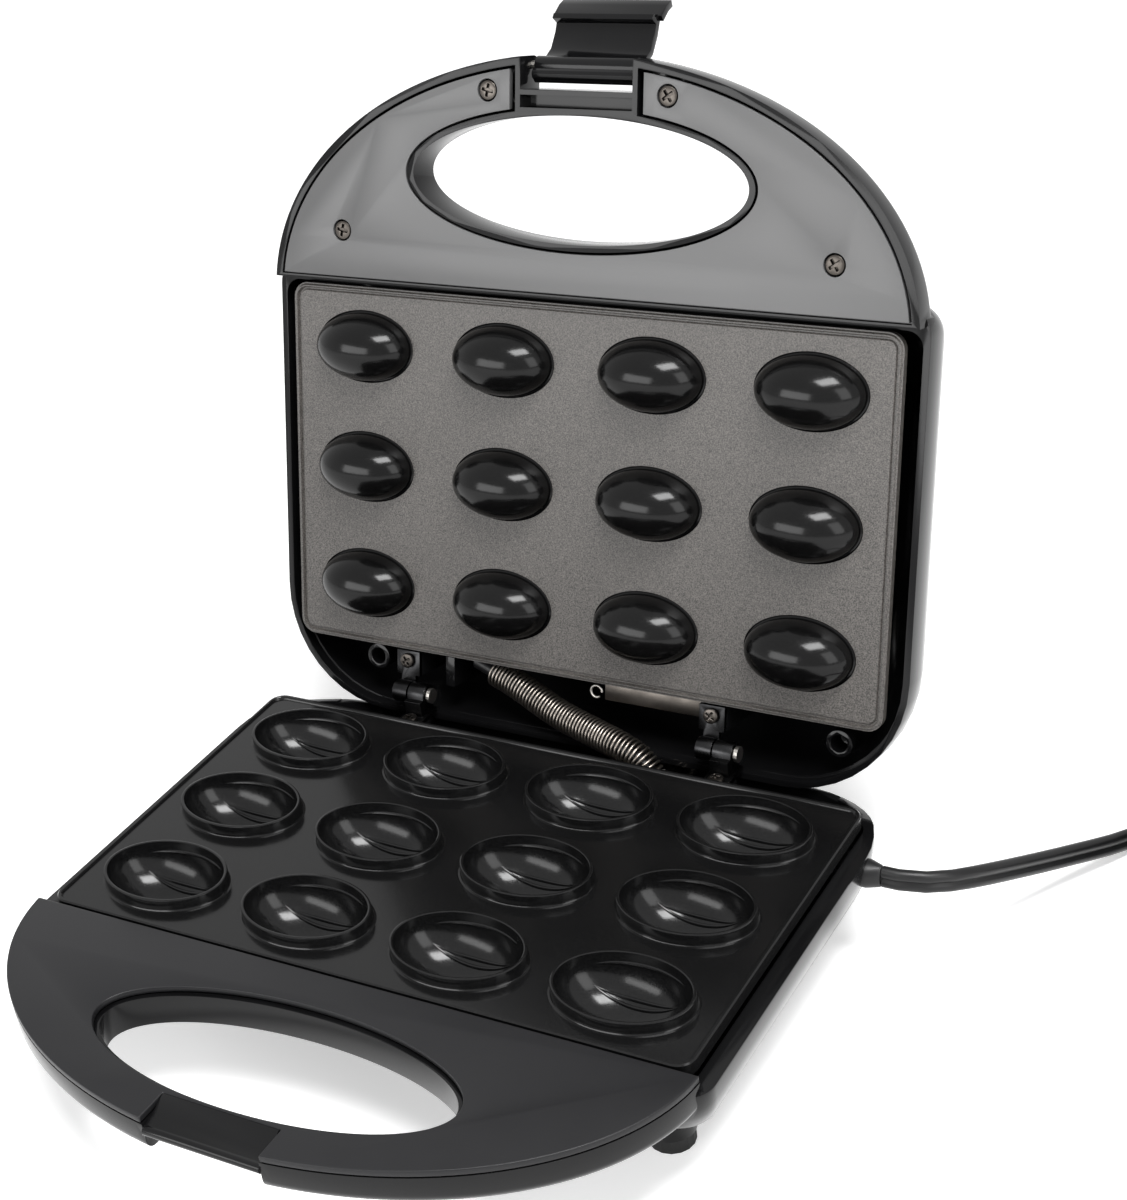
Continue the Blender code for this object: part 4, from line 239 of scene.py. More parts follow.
# Plastics: material, darker and paler colour, roughness from and to, grains a metre,
# grain height, gloss
PLASTICS = {
    "gloss_black": (
        "gloss_black_plastic", (0.0030, 0.0030, 0.0033), (0.0052, 0.0052, 0.0055),
        0.10, 0.17, 700.0, 0.000006, 0.20,
    ),
    "satin_black": (
        "satin_black_plastic", (0.0085, 0.0085, 0.0094), (0.0120, 0.0120, 0.0130),
        0.36, 0.44, 1500.0, 0.000012, 0.22,
    ),
    # The lid plate's plastic is the same satin black as the base handle plate, made much paler:
    # painted light, the front lamp's sheen painted into its colour
    "lid_satin_painted_light": (
        "lid_cover_plastic_painted_light", (0.0620, 0.0620, 0.0626), (0.0740, 0.0740, 0.0746),
        0.34, 0.42, 1500.0, 0.000008, 0.50,
    ),
    "foot_rubber": (
        "foot_rubber", (0.0100, 0.0100, 0.0100), (0.0180, 0.0180, 0.0180),
        0.62, 0.80, 2200.0, 0.000030, 0.30,
    ),
    "cord_black": (
        "cord_vinyl", (0.0040, 0.0040, 0.0043), (0.0075, 0.0075, 0.0078),
        0.30, 0.42, 1600.0, 0.000015, 0.28,
    ),
    "ceramic": (
        "terminal_ceramic", (0.62, 0.60, 0.55), (0.70, 0.68, 0.63),
        0.45, 0.60, 900.0, 0.000030,
    ),
    "lamp_red": (
        "red_lamp_lens", (0.42, 0.012, 0.010), (0.50, 0.020, 0.014),
        0.10, 0.16, 500.0, 0.000005,
    ),
    "lamp_green": (
        "green_lamp_lens", (0.012, 0.30, 0.040), (0.020, 0.36, 0.055),
        0.10, 0.16, 500.0, 0.000005,
    ),
}
# Coatings: material, darker and paler colour, colour and share of specks, roughness,
# grain height, gloss
COATINGS = {
    "coating_grey": (
        "grey_non_stick_coating", (0.0120, 0.0108, 0.0097), (0.0170, 0.0155, 0.0142),
        (0.1300, 0.1195, 0.1105), 0.80, 0.36, 0.000034, 0.38,
    ),
    # The bumps' coating is the same non-stick coating as the plate's field, made much darker: painted
    # shade and painted dark reflection on the bumps
    "bump_coating_painted_shade": (
        "non_stick_coating_painted_shade", (0.0016, 0.0016, 0.0017), (0.0026, 0.0026, 0.0027),
        (0.0070, 0.0068, 0.0066), 0.36, 0.15, 0.000008, 0.20,
    ),
    "coating_black": (
        "black_non_stick_coating", (0.0014, 0.0014, 0.0015), (0.0024, 0.0024, 0.0025),
        (0.0110, 0.0110, 0.0113), 0.50, 0.15, 0.000012, 0.27,
    ),
}
# Metals: material, colour, roughness, how the drawn marks stretch, their height
METALS = {
    "bright_steel": ("zinc_plated_steel", (0.46, 0.44, 0.41), 0.26, (1.0, 14.0, 14.0), 0.000010),
    "spring_steel": ("spring_steel", (0.30, 0.27, 0.24), 0.30, (1.0, 6.0, 6.0), 0.000006),
    "hinge_black": (
        "blackened_hinge_steel", (0.030, 0.030, 0.031),
        0.22, (1.0, 9.0, 9.0), 0.000008,
    ),
    "dark_screw": ("blackened_screw_steel", (0.085, 0.076, 0.068), 0.26, (1.0, 1.0, 8.0), 0.000010),
    "element_steel": (
        "heated_element_steel", (0.30, 0.27, 0.24),
        0.40, (1.0, 10.0, 10.0), 0.000010,
    ),
}


def make_finishes():
    """Make every finish of the cake maker once, by name."""
    finishes = {name: moulded_plastic(*row) for name, row in PLASTICS.items()}
    finishes.update((name, speckled_coating(*row)) for name, row in COATINGS.items())
    finishes.update((name, worked_metal(*row)) for name, row in METALS.items())
    return finishes


# Making pieces

def node_slot(node):
    """Return the slot name that a node was packed with."""
    return node.data.materials[0].name.split(".")[0]


SHARP_DEG = 35
EDGE_STEPS = 3
SMALL_EDGE_STEPS = 2
LID_TURN = (
    Matrix.Translation((0, HINGE_Y, HINGE_Z))
    @ Matrix.Rotation(math.radians(-LID_OPEN_DEG), 4, "X")
    @ Matrix.Translation((0, -HINGE_Y, -HINGE_Z))
)
BASE_PLACE = Matrix.Translation(PLATE_MIDDLE)
LID_PLACE = BASE_PLACE @ LID_TURN


def finished(name, bm, finish, body, place):
    """Turn a bmesh into a piece in its place, smooth but for its sharp edges."""
    bmesh.ops.transform(bm, matrix=place, verts=bm.verts)
    mesh = bpy.data.meshes.new(name)
    bm.to_mesh(mesh)
    bm.free()
    mesh.polygons.foreach_set("use_smooth", [True] * len(mesh.polygons))
    mesh.set_sharp_from_angle(angle=math.radians(SHARP_DEG))
    mesh.materials.append(FINISHES[finish])
    piece = bpy.data.objects.new(name, mesh)
    bpy.context.scene.collection.objects.link(piece)
    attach(piece, body)
    return piece


def join_into(bm, other):
    """Add another bmesh to this one and let it go."""
    spare = bpy.data.meshes.new("spare")
    other.to_mesh(spare)
    other.free()
    bm.from_mesh(spare)
    bpy.data.meshes.remove(spare)


def rings_solid(rings, sides):
    """Make a closed solid from ovals: each ring is its half length, half width and level."""
    bm = bmesh.new()
    ring = bmesh.ops.create_circle(bm, cap_ends=True, radius=1, segments=sides)["verts"]
    length, width, level = rings[0]
    bmesh.ops.scale(bm, vec=(length, width, 1), verts=ring)
    bmesh.ops.translate(bm, vec=(0, 0, level), verts=ring)
    edges = [edge for edge in bm.edges]
    for next_length, next_width, next_level in rings[1:]:
        made = bmesh.ops.extrude_edge_only(bm, edges=edges)["geom"]
        ring = [item for item in made if isinstance(item, bmesh.types.BMVert)]
        edges = [item for item in made if isinstance(item, bmesh.types.BMEdge)]
        edges = [edge for edge in edges if all(vert in ring for vert in edge.verts)]
        bmesh.ops.scale(bm, vec=(next_length / length, next_width / width, 1), verts=ring)
        bmesh.ops.translate(bm, vec=(0, 0, next_level - level), verts=ring)
        length, width, level = next_length, next_width, next_level
    bmesh.ops.edgeloop_fill(bm, edges=edges)
    bmesh.ops.recalc_face_normals(bm, faces=bm.faces)
    return bm


def rounded_slab(half_width, front, rear, corner, low, high):
    """Make a slab with upright rounded corners."""
    bm = bmesh.new()
    bmesh.ops.create_cube(bm, size=1)
    bmesh.ops.scale(bm, vec=(2 * half_width, front + rear, high - low), verts=bm.verts)
    bmesh.ops.translate(bm, vec=(0, (rear - front) / 2, (high + low) / 2), verts=bm.verts)
    upright = [
        edge for edge in bm.edges
        if abs(edge.verts[0].co.z - edge.verts[1].co.z) > (high - low) / 2
    ]
    bmesh.ops.bevel(
        bm, geom=upright, offset=corner, offset_type="OFFSET", affect="EDGES",
        segments=PLATE_CORNER_STEPS, profile=0.5, material=-1,
    )
    return bm


def flat_face(bm, level):
    """Return the largest face that lies flat at a level."""
    faces = [face for face in bm.faces if abs(face.calc_center_median().z - level) < GAP_MICRO]
    return max(faces, key=lambda face: face.calc_area())


def rod_between(bm, start, end, radius, sides):
    """Add a round rod between two places."""
    start, end = Vector(start), Vector(end)
    along = end - start
    place = Matrix.Translation((start + end) / 2) @ along.to_track_quat("Z", "Y").to_matrix().to_4x4()
    bmesh.ops.create_cone(
        bm, cap_ends=True, segments=sides, radius1=radius, radius2=radius,
        depth=along.length, matrix=place,
    )


def carved(piece, cutter_bm, work="DIFFERENCE"):
    """Cut a shape out of a piece, or join it on."""
    mesh = bpy.data.meshes.new("cutter")
    cutter_bm.to_mesh(mesh)
    cutter_bm.free()
    cutter = bpy.data.objects.new("cutter", mesh)
    bpy.context.scene.collection.objects.link(cutter)
    modifier = piece.modifiers.new("carve", "BOOLEAN")
    modifier.object = cutter
    modifier.operation = work
    modifier.solver = "EXACT"
    apply_modifiers(piece)
    bpy.data.objects.remove(cutter)


def apply_modifiers(piece):
    """Turn a piece's modifiers into its own mesh."""
    bpy.context.view_layer.update()
    seen = piece.evaluated_get(bpy.context.evaluated_depsgraph_get())
    mesh = bpy.data.meshes.new_from_object(seen)
    piece.modifiers.clear()
    old = piece.data
    piece.data = mesh
    bpy.data.meshes.remove(old)


def round_edges(piece, width, steps=EDGE_STEPS):
    """Round a piece's sharp edges."""
    rounding = piece.modifiers.new("round_edges", "BEVEL")
    rounding.width = width
    rounding.segments = steps
    rounding.limit_method = "ANGLE"
    rounding.angle_limit = math.radians(SHARP_DEG)
    apply_modifiers(piece)


def joined_meshes(piece, others, finish_place=0):
    """Put other bmeshes into a piece's one mesh, on one of its finishes."""
    bm = bmesh.new()
    bm.from_mesh(piece.data)
    for other in others:
        for face in other.faces:
            face.material_index = finish_place
        join_into(bm, other)
    bm.to_mesh(piece.data)
    bm.free()


def cup_places():
    """Return the middles of the twelve cups."""
    return [
        (COLUMN_PITCH * (column - (COLUMNS - 1) / 2), ROW_PITCH * (row - (ROWS - 1) / 2))
        for row in range(ROWS) for column in range(COLUMNS)
    ]


def copies_at_cups(make_one):
    """Return one bmesh with a copy of the shape at each cup."""
    bm = bmesh.new()
    for x, y in cup_places():
        one = make_one()
        bmesh.ops.translate(one, vec=(x, y, 0), verts=one.verts)
        join_into(bm, one)
    return bm


GAP_MICRO = 0.00001
PART_GAP = 0.0003
PLATE_CORNER_STEPS = 8
COLUMNS = 4
ROWS = 3
COLUMN_PITCH = 0.0500
ROW_PITCH = 0.0384
CUP_SIDES = 64

# Lower baking plate
PLATE_HALF_WIDTH = 0.1031
PLATE_FRONT = 0.0585
PLATE_REAR = 0.0600
PLATE_CORNER = 0.0050
PLATE_LIP_LEVEL = -0.0030
PLATE_FIELD_LEVEL = -0.0038
PLATE_UNDER_LEVEL = -0.0070
PLATE_LIP_WIDTH = 0.0015
RIM_HALF_LENGTH = 0.0203
RIM_HALF_WIDTH = 0.0143
RIM_WALL = 0.0011
CUP_DEPTH = 0.0140
CUP_WALL = 0.0012
RIM_EDGE = 0.0004
RIM_FOOT = 0.0009

# Upper baking plate
UPPER_HALF_WIDTH = 0.1017
UPPER_FRONT = 0.0570
UPPER_REAR = 0.0585
UPPER_FACE_LEVEL = 0.0008
UPPER_BACK_LEVEL = 0.0032
UPPER_BORDER_WIDTH = 0.0016
UPPER_BORDER_HEIGHT = 0.0005
BUMP_HALF_LENGTH = 0.0168
BUMP_HALF_WIDTH = 0.0106
BUMP_HEIGHT = 0.0115
BUMP_GROOVE = 0.0004


def oval_grown(half_length, half_width, growth, level):
    """Return a ring that stands off an oval by the growth."""
    return half_length + growth, half_width + growth, level


# Rings of a cup and a bump, and shares of a rim's foot and edge that the rings stand at
CUP_UNDER_RINGS = 12
BOWL_RINGS = 18
BUMP_RINGS = 20
BOWL_TIP_SHARE = 0.15
OVAL_TIP_SHARE = 0.02
FOOT_LOW = (0.35, 0.12)
FOOT_HIGH = (0.06, 0.5)
RIM_TURN = 0.30
LIP_SHARES = (0.8, 0.2)


def cup_solid():
    """Make one cup: outer foot, rim with its round edge, bowl and the bowl's underside."""
    outer = (RIM_HALF_LENGTH, RIM_HALF_WIDTH)
    bowl_length = RIM_HALF_LENGTH - RIM_WALL
    bowl_width = RIM_HALF_WIDTH - RIM_WALL
    rings = []
    for i in range(CUP_UNDER_RINGS):
        tilt = math.pi / 2 * (1 - (i + BOWL_TIP_SHARE) / CUP_UNDER_RINGS)
        rings.append((
            (bowl_length + CUP_WALL) * math.cos(tilt), (bowl_width + CUP_WALL) * math.cos(tilt),
            -(CUP_DEPTH + CUP_WALL) * math.sin(tilt),
        ))
    rings = [ring for ring in rings if ring[2] < PLATE_UNDER_LEVEL]
    rings += [
        oval_grown(*outer, RIM_FOOT, PLATE_UNDER_LEVEL),
        oval_grown(*outer, RIM_FOOT, PLATE_FIELD_LEVEL),
        oval_grown(*outer, RIM_FOOT * FOOT_LOW[0], PLATE_FIELD_LEVEL + RIM_FOOT * FOOT_LOW[1]),
        oval_grown(*outer, RIM_FOOT * FOOT_HIGH[0], PLATE_FIELD_LEVEL + RIM_FOOT * FOOT_HIGH[1]),
        oval_grown(*outer, 0, PLATE_FIELD_LEVEL + RIM_FOOT),
        oval_grown(*outer, 0, -RIM_EDGE),
        oval_grown(*outer, -RIM_EDGE * RIM_TURN, -RIM_EDGE * RIM_TURN),
        oval_grown(*outer, -RIM_EDGE, 0),
        oval_grown(*outer, RIM_EDGE * LIP_SHARES[0] - RIM_WALL, 0),
        oval_grown(*outer, RIM_EDGE * LIP_SHARES[1] - RIM_WALL, -RIM_EDGE * RIM_TURN),
    ]
    for i in range(1, BOWL_RINGS):
        tilt = math.pi / 2 * i / BOWL_RINGS
        rings.append((
            bowl_length * math.cos(tilt), bowl_width * math.cos(tilt), -CUP_DEPTH * math.sin(tilt)
        ))
    rings.append((bowl_length * OVAL_TIP_SHARE, bowl_width * OVAL_TIP_SHARE, -CUP_DEPTH))
    return rings_solid(rings, CUP_SIDES)


def bowl_point(along, across):
    """Return the place on the bowl at shares of its half length and half width."""
    down = math.sqrt(max(1 - along * along - across * across, 0))
    return Vector((
        (RIM_HALF_LENGTH - RIM_WALL) * along, (RIM_HALF_WIDTH - RIM_WALL) * across,
        -CUP_DEPTH * down,
    ))


def ridge_on(points, radius, name):
    """Return a bmesh of a thin ridge along points, pointed at both ends."""
    curve = bpy.data.curves.new(name, "CURVE")
    curve.dimensions = "3D"
    curve.bevel_depth = radius
    curve.bevel_resolution = 2
    curve.use_fill_caps = True
    line = curve.splines.new("POLY")
    line.points.add(len(points) - 1)
    last = len(points) - 1
    for i, point in enumerate(points):
        line.points[i].co = (*point, 1)
        line.points[i].radius = max(math.sin(math.pi * i / last) ** 0.5, RIDGE_TIP_SHARE)
    holder = bpy.data.objects.new(name, curve)
    bpy.context.scene.collection.objects.link(holder)
    bpy.context.view_layer.update()
    mesh = bpy.data.meshes.new_from_object(
        holder.evaluated_get(bpy.context.evaluated_depsgraph_get())
    )
    bm = bmesh.new()
    bm.from_mesh(mesh)
    bpy.data.objects.remove(holder)
    bpy.data.meshes.remove(mesh)
    return bm


RIDGE_TIP_SHARE = 0.15
RIDGE_RADIUS = 0.00060
RIDGE_POINTS = 22
SEAM_START_SHARE = -0.67
SEAM_END_SHARE = 0.63
SEAM_ACROSS_SHARE = 0.475
SEAM_BOW_SHARES = (0.115, -0.020)
LEDGE_SHARE = 0.972
LEDGE_START_DEG = 46.0
LEDGE_END_DEG = 133.0


def cup_ridges():
    """Return one cup's nut-shell seam, two thin ridges that part and meet, and its rear ledge."""
    bm = bmesh.new()
    for bow in SEAM_BOW_SHARES:
        points = []
        for i in range(RIDGE_POINTS + 1):
            share = i / RIDGE_POINTS
            along = SEAM_START_SHARE + (SEAM_END_SHARE - SEAM_START_SHARE) * share
            points.append(bowl_point(along, SEAM_ACROSS_SHARE + bow * math.sin(math.pi * share)))
        join_into(bm, ridge_on(points, RIDGE_RADIUS, "seam"))
    points = []
    for i in range(RIDGE_POINTS + 1):
        turn = math.radians(LEDGE_START_DEG + (LEDGE_END_DEG - LEDGE_START_DEG) * i / RIDGE_POINTS)
        points.append(bowl_point(LEDGE_SHARE * math.cos(turn), LEDGE_SHARE * math.sin(turn)))
    join_into(bm, ridge_on(points, RIDGE_RADIUS, "ledge"))
    return bm


def oval_cutter(half_length, half_width, low, high):
    """Return a straight oval cutter."""
    return rings_solid([(half_length, half_width, low), (half_length, half_width, high)], CUP_SIDES)


def lower_plate():
    """Make the lower baking plate: sunk field in a round lip, and twelve cups with ridges."""
    slab = rounded_slab(
        PLATE_HALF_WIDTH, PLATE_FRONT, PLATE_REAR, PLATE_CORNER, PLATE_UNDER_LEVEL, PLATE_LIP_LEVEL
    )
    top = flat_face(slab, PLATE_LIP_LEVEL)
    bmesh.ops.inset_region(slab, faces=[top], thickness=RIM_EDGE, depth=0)
    bmesh.ops.inset_region(slab, faces=[top], thickness=PLATE_LIP_WIDTH - 2 * RIM_EDGE, depth=0)
    bmesh.ops.inset_region(slab, faces=[top], thickness=RIM_EDGE, depth=-RIM_EDGE)
    bmesh.ops.inset_region(
        slab, faces=[top], thickness=RIM_EDGE / 2,
        depth=PLATE_FIELD_LEVEL - PLATE_LIP_LEVEL + RIM_EDGE,
    )
    edge = [vert for vert in slab.verts if abs(vert.co.z - PLATE_LIP_LEVEL) < GAP_MICRO]
    outer = [
        vert for vert in edge
        if any(abs(other.other_vert(vert).co.z - PLATE_UNDER_LEVEL) < GAP_MICRO
               for other in vert.link_edges)
    ]
    bmesh.ops.translate(slab, vec=(0, 0, -RIM_EDGE), verts=outer)
    plate = finished("lower_plate_dressed", slab, "coating_black", "base", Matrix.Identity(4))
    carved(plate, copies_at_cups(lambda: oval_cutter(
        RIM_HALF_LENGTH + RIM_FOOT, RIM_HALF_WIDTH + RIM_FOOT,
        PLATE_UNDER_LEVEL - RIM_EDGE, PLATE_LIP_LEVEL,
    )))
    joined_meshes(plate, [copies_at_cups(cup_solid), copies_at_cups(cup_ridges)])
    return settle(plate, BASE_PLACE, "lower_baking_plate")


def bump_solid():
    """Make one nut-shaped bump with the fine groove round its foot."""
    size = (BUMP_HALF_LENGTH, BUMP_HALF_WIDTH)
    rings = [
        oval_grown(*size, -BUMP_GROOVE * 4, UPPER_BACK_LEVEL),
        oval_grown(*size, BUMP_GROOVE * 2, UPPER_BACK_LEVEL),
        oval_grown(*size, BUMP_GROOVE * 2, UPPER_FACE_LEVEL),
        oval_grown(*size, BUMP_GROOVE, UPPER_FACE_LEVEL + BUMP_GROOVE),
        oval_grown(*size, 0, UPPER_FACE_LEVEL + BUMP_GROOVE / 2),
    ]
    for i in range(BUMP_RINGS):
        tilt = math.pi / 2 * i / BUMP_RINGS
        rings.append((
            BUMP_HALF_LENGTH * math.cos(tilt), BUMP_HALF_WIDTH * math.cos(tilt),
            UPPER_FACE_LEVEL - BUMP_HEIGHT * math.sin(tilt),
        ))
    rings.append((
        BUMP_HALF_LENGTH * OVAL_TIP_SHARE, BUMP_HALF_WIDTH * OVAL_TIP_SHARE,
        UPPER_FACE_LEVEL - BUMP_HEIGHT,
    ))
    return rings_solid(rings, CUP_SIDES)


def upper_plate():
    """Make the upper baking plate: a flat field in a thin double border, with twelve bumps."""
    slab = rounded_slab(
        UPPER_HALF_WIDTH, UPPER_FRONT, UPPER_REAR, PLATE_CORNER, UPPER_FACE_LEVEL, UPPER_BACK_LEVEL
    )
    face = flat_face(slab, UPPER_FACE_LEVEL)
    quarter = UPPER_BORDER_WIDTH / 4
    for depth in (0, UPPER_BORDER_HEIGHT, 0, -2 * UPPER_BORDER_HEIGHT, 0, UPPER_BORDER_HEIGHT):
        bmesh.ops.inset_region(slab, faces=[face], thickness=quarter, depth=depth)
    plate = finished("upper_plate_dressed", slab, "coating_grey", "lid", Matrix.Identity(4))
    carved(plate, copies_at_cups(lambda: oval_cutter(
        BUMP_HALF_LENGTH + 2 * BUMP_GROOVE, BUMP_HALF_WIDTH + 2 * BUMP_GROOVE,
        UPPER_FACE_LEVEL - UPPER_BORDER_HEIGHT * 3, UPPER_BACK_LEVEL + RIM_EDGE,
    )))
    # The bumps take the darker copy of the coating: painted shade, not a coating of their own
    plate.data.materials.append(FINISHES["bump_coating_painted_shade"])
    joined_meshes(plate, [copies_at_cups(bump_solid)], finish_place=1)
    return settle(plate, LID_PLACE, "upper_baking_plate")


def settle(piece, place, *nodes):
    """Carry a finished piece to its place and let it stand for its CAD nodes."""
    piece.data.transform(place)
    piece.data.polygons.foreach_set("use_smooth", [True] * len(piece.data.polygons))
    piece.data.set_sharp_from_angle(angle=math.radians(SHARP_DEG))
    piece.data.update()
    if nodes:
        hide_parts(*nodes)
    return piece


# Latch lever and hinge brackets, dressed from their own solids, and the finishes of the nodes

LATCH_EDGE = 0.0003
HINGE_EDGE = 0.0002
ADDED_EDGE = 0.0003


def dressed(name, node, finish, body, edge):
    """Copy a node's solid, close its seams and round its sharp edges."""
    bm = bmesh.new()
    bm.from_mesh(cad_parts[node].data)
    bmesh.ops.remove_doubles(bm, verts=bm.verts, dist=WELD)
    bmesh.ops.dissolve_limit(
        bm, angle_limit=math.radians(FLAT_DEG), verts=bm.verts, edges=bm.edges,
        use_dissolve_boundaries=False,
    )
    piece = finished(name, bm, finish, body, Matrix.Identity(4))
    round_edges(piece, edge)
    return settle(piece, Matrix.Identity(4), node)


WELD = 0.000002
FLAT_DEG = 0.6


def latch():
    """Dress the latch lever and the hinge brackets, low and high on each side."""
    dressed("latch_lever_dressed", "latch_lever", "gloss_black", "latch", LATCH_EDGE)
    for side in ("left", "right"):
        dressed(f"hinge_low_{side}", f"hinge_base_bracket_{side}", "hinge_black", "base", HINGE_EDGE)
        dressed(f"hinge_high_{side}", f"hinge_lid_bracket_{side}", "hinge_black", "lid", HINGE_EDGE)


def finish_shown_nodes():
    """Give every node that still shows the finish of its slot."""
    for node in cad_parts.values():
        finish = FINISHES[node_slot(node)]
        for place in node.material_slots:
            place.material = finish


# Casings and handle covers

SHELL_WALL = 0.0022
RIM_THICKNESS = 0.0020
WELL_HALF_WIDTH = 0.0890
OVERRUN = 0.0020
TUB_STEPS = 12
CORNER_STEPS = 10
HANDLE_HALF_WIDTH = 0.1068
HANDLE_CENTRE_Y = -0.0550
HANDLE_EDGE_ROUNDING = 0.0035
HAND_HOLE_Y = -0.0931
COVER_THICKNESS = 0.0020
SMOOTH_SIDES = 160
PLATE_GAP = 0.0005
EDGE_ROUNDING = 0.0004

# Base: half width, front, rear, front and rear corner radii, then levels
BASE_TUB = (0.1090, 0.0640, 0.0790, 0.0080, 0.0350)
BASE_RIM_LEVEL = -0.0080
BASE_SIDE_HEIGHT = 0.0008
BASE_FLOOR_LEVEL = -0.0370
TUB_ROUNDING = 0.0280
BASE_REACH = 0.0713
BASE_HANDLE_TOP = -0.0030
BASE_HANDLE_BOTTOM = -0.0145
BASE_HANDLE_DECK = -0.0053
BASE_HANDLE_END_Y = -0.0595
BASE_HOLE = (0.0570, 0.0210)
BASE_HOLE_STEP = 0.0015
REAR_SILL_HALF_WIDTH = 0.1110
NOTCH_HALF_WIDTH = 0.0182
NOTCH_REAR_Y = -0.1154
NOTCH_FRONT_Y = -0.1238
NOTCH_FLOOR_FALL = 0.0034
NOTCH_SIDE_WALL = 0.0020
CATCH_Y = -0.1246
CATCH_LEVEL = -0.0077
CATCH_RADIUS = 0.0014
CATCH_RECESS_Y = -0.1205
HANDLE_CAVITY_END_Y = -0.0662

# Lid, drawn closed
LID_TUB = (0.1082, 0.0640, 0.0812, 0.0080, 0.0380)
LID_RIM_LEVEL = 0.0030
LID_SIDE_HEIGHT = 0.0060
LID_RIM_WIDTH = 0.0020
LID_TOP_LEVEL = 0.0380
LID_REACH = 0.0737
LID_HANDLE_FACE = -0.0020
LID_HANDLE_BACK = 0.0095
LID_COVER_BACK = 0.0000
LID_COVER_END_Y = -0.0603
LID_HANDLE_END_Y = -0.0588
LID_HANDLE_WALL = 0.0023
LID_GROOVE = 0.0008
LID_HOLE = (0.0550, 0.0183)
HOLE_WALL = 0.0019
RECESS_REAR_Y = -0.1133
RECESS_BLOCK_REAR_Y = -0.1112
RECESS_GROOVE = 0.0019
RECESS_BAR_FRONT_Y = -0.1183
RECESS_BAR_REAR_Y = -0.1169
RECESS_WALL = 0.0016
RECESS_POCKET_DEPTH = 0.0065

# Foot seats and hinge posts
FRONT_FOOT = (0.0880, -0.0440)
REAR_FOOT = (0.0780, 0.0600)
FOOT_SEAT_RADIUS = 0.0070
FOOT_SEAT_LEVEL = -0.0385
FOOT_SEAT_TOP = -0.0306
HINGE_POST_HALF_WIDTH = 0.0042
BASE_POST_YS = (0.0607, 0.0690)
BASE_POST_ZS = (-0.0291, -0.0083)
LID_POST_YS = (0.0592, 0.0672)
LID_POST_ZS = (0.0029, 0.0330)


def outline_loop(bm, half_width, front, rear, front_radius, rear_radius, level):
    """Add a loop of edges round a rectangle with rounded corners."""
    before = set(bm.edges)
    corners = bmesh.ops.create_grid(bm, x_segments=1, y_segments=1, size=1)["verts"]
    bmesh.ops.scale(bm, vec=(half_width, (rear + front) / 2, 1), verts=corners)
    bmesh.ops.translate(bm, vec=(0, (rear - front) / 2, level), verts=corners)
    fore = [vert for vert in corners if vert.co.y < 0]
    aft = [vert for vert in corners if vert.co.y > 0]
    for ends, radius in ((fore, front_radius), (aft, rear_radius)):
        bmesh.ops.bevel(
            bm, geom=ends, offset=radius, offset_type="OFFSET", affect="VERTICES",
            segments=CORNER_STEPS, profile=0.5, material=-1,
        )
    loop = [edge for edge in bm.edges if edge not in before]
    bmesh.ops.delete(bm, geom=list({face for edge in loop for face in edge.link_faces}),
                     context="FACES_ONLY")
    return loop


def tub_block(tub, rim, side_height, end, inset):
    """Make a rounded tub from its rim to its end level, drawn in by an inset all round."""
    half_width, front, rear, front_corner, rear_corner = tub
    direction = 1 if end > rim else -1
    start = rim + direction * side_height
    deep = abs(end - start) - inset
    bm = bmesh.new()
    loops = []
    levels = []
    for i in range(-1, TUB_STEPS + 1):
        angle = math.pi / 2 * max(i, 0) / TUB_STEPS
        shrink = inset + (TUB_ROUNDING - inset) * (1 - math.cos(angle))
        level = rim if i < 0 else start + direction * deep * math.sin(angle)
        if levels and abs(level - levels[-1]) < GAP_MICRO:
            continue
        levels.append(level)
        loops.append(outline_loop(
            bm, half_width - shrink, front - shrink, rear - shrink,
            front_corner + max(shrink - inset, 0) / 2, rear_corner - shrink / 2, level,
        ))
    for near, far in zip(loops, loops[1:]):
        bmesh.ops.bridge_loops(bm, edges=near + far)
    bmesh.ops.contextual_create(bm, geom=loops[0])
    bmesh.ops.contextual_create(bm, geom=loops[-1])
    bmesh.ops.recalc_face_normals(bm, faces=bm.faces)
    return bm


HANDLE_EDGE_STEPS = 6
BAR_SIDES = 48


def half_oval(reach, end_y, near, far, inset=0.0, rounding=0.0):
    """Make a handle's half oval between two levels, rounded along its far edge."""
    bm = bmesh.new()
    disc = bmesh.ops.create_circle(bm, cap_ends=True, radius=1, segments=SMOOTH_SIDES)["verts"]
    bmesh.ops.scale(bm, vec=(HANDLE_HALF_WIDTH - inset, reach - inset, 1), verts=disc)
    bmesh.ops.translate(bm, vec=(0, HANDLE_CENTRE_Y, near), verts=disc)
    bmesh.ops.bisect_plane(
        bm, geom=bm.verts[:] + bm.edges[:] + bm.faces[:], plane_co=(0, end_y, 0),
        plane_no=(0, 1, 0), clear_outer=True,
    )
    made = bmesh.ops.extrude_face_region(bm, geom=bm.faces[:])["geom"]
    raised = [item for item in made if isinstance(item, bmesh.types.BMVert)]
    bmesh.ops.translate(bm, vec=(0, 0, far - near), verts=raised)
    if rounding:
        curved = [
            edge for edge in bm.edges
            if all(abs(vert.co.z - far) < GAP_MICRO for vert in edge.verts)
            and min(vert.co.y for vert in edge.verts) < end_y - GAP_MICRO
        ]
        bmesh.ops.bevel(
            bm, geom=curved, offset=rounding, offset_type="OFFSET", affect="EDGES",
            segments=HANDLE_EDGE_STEPS, profile=0.5, material=-1,
        )
    bmesh.ops.recalc_face_normals(bm, faces=bm.faces)
    return bm


def hand_hole(hole, growth, low, high):
    """Make the oval of a hand hole, or of the ring round it."""
    bm = rings_solid(
        [(hole[0] + growth, hole[1] + growth, low), (hole[0] + growth, hole[1] + growth, high)],
        SMOOTH_SIDES,
    )
    bmesh.ops.translate(bm, vec=(0, HAND_HOLE_Y, 0), verts=bm.verts)
    return bm


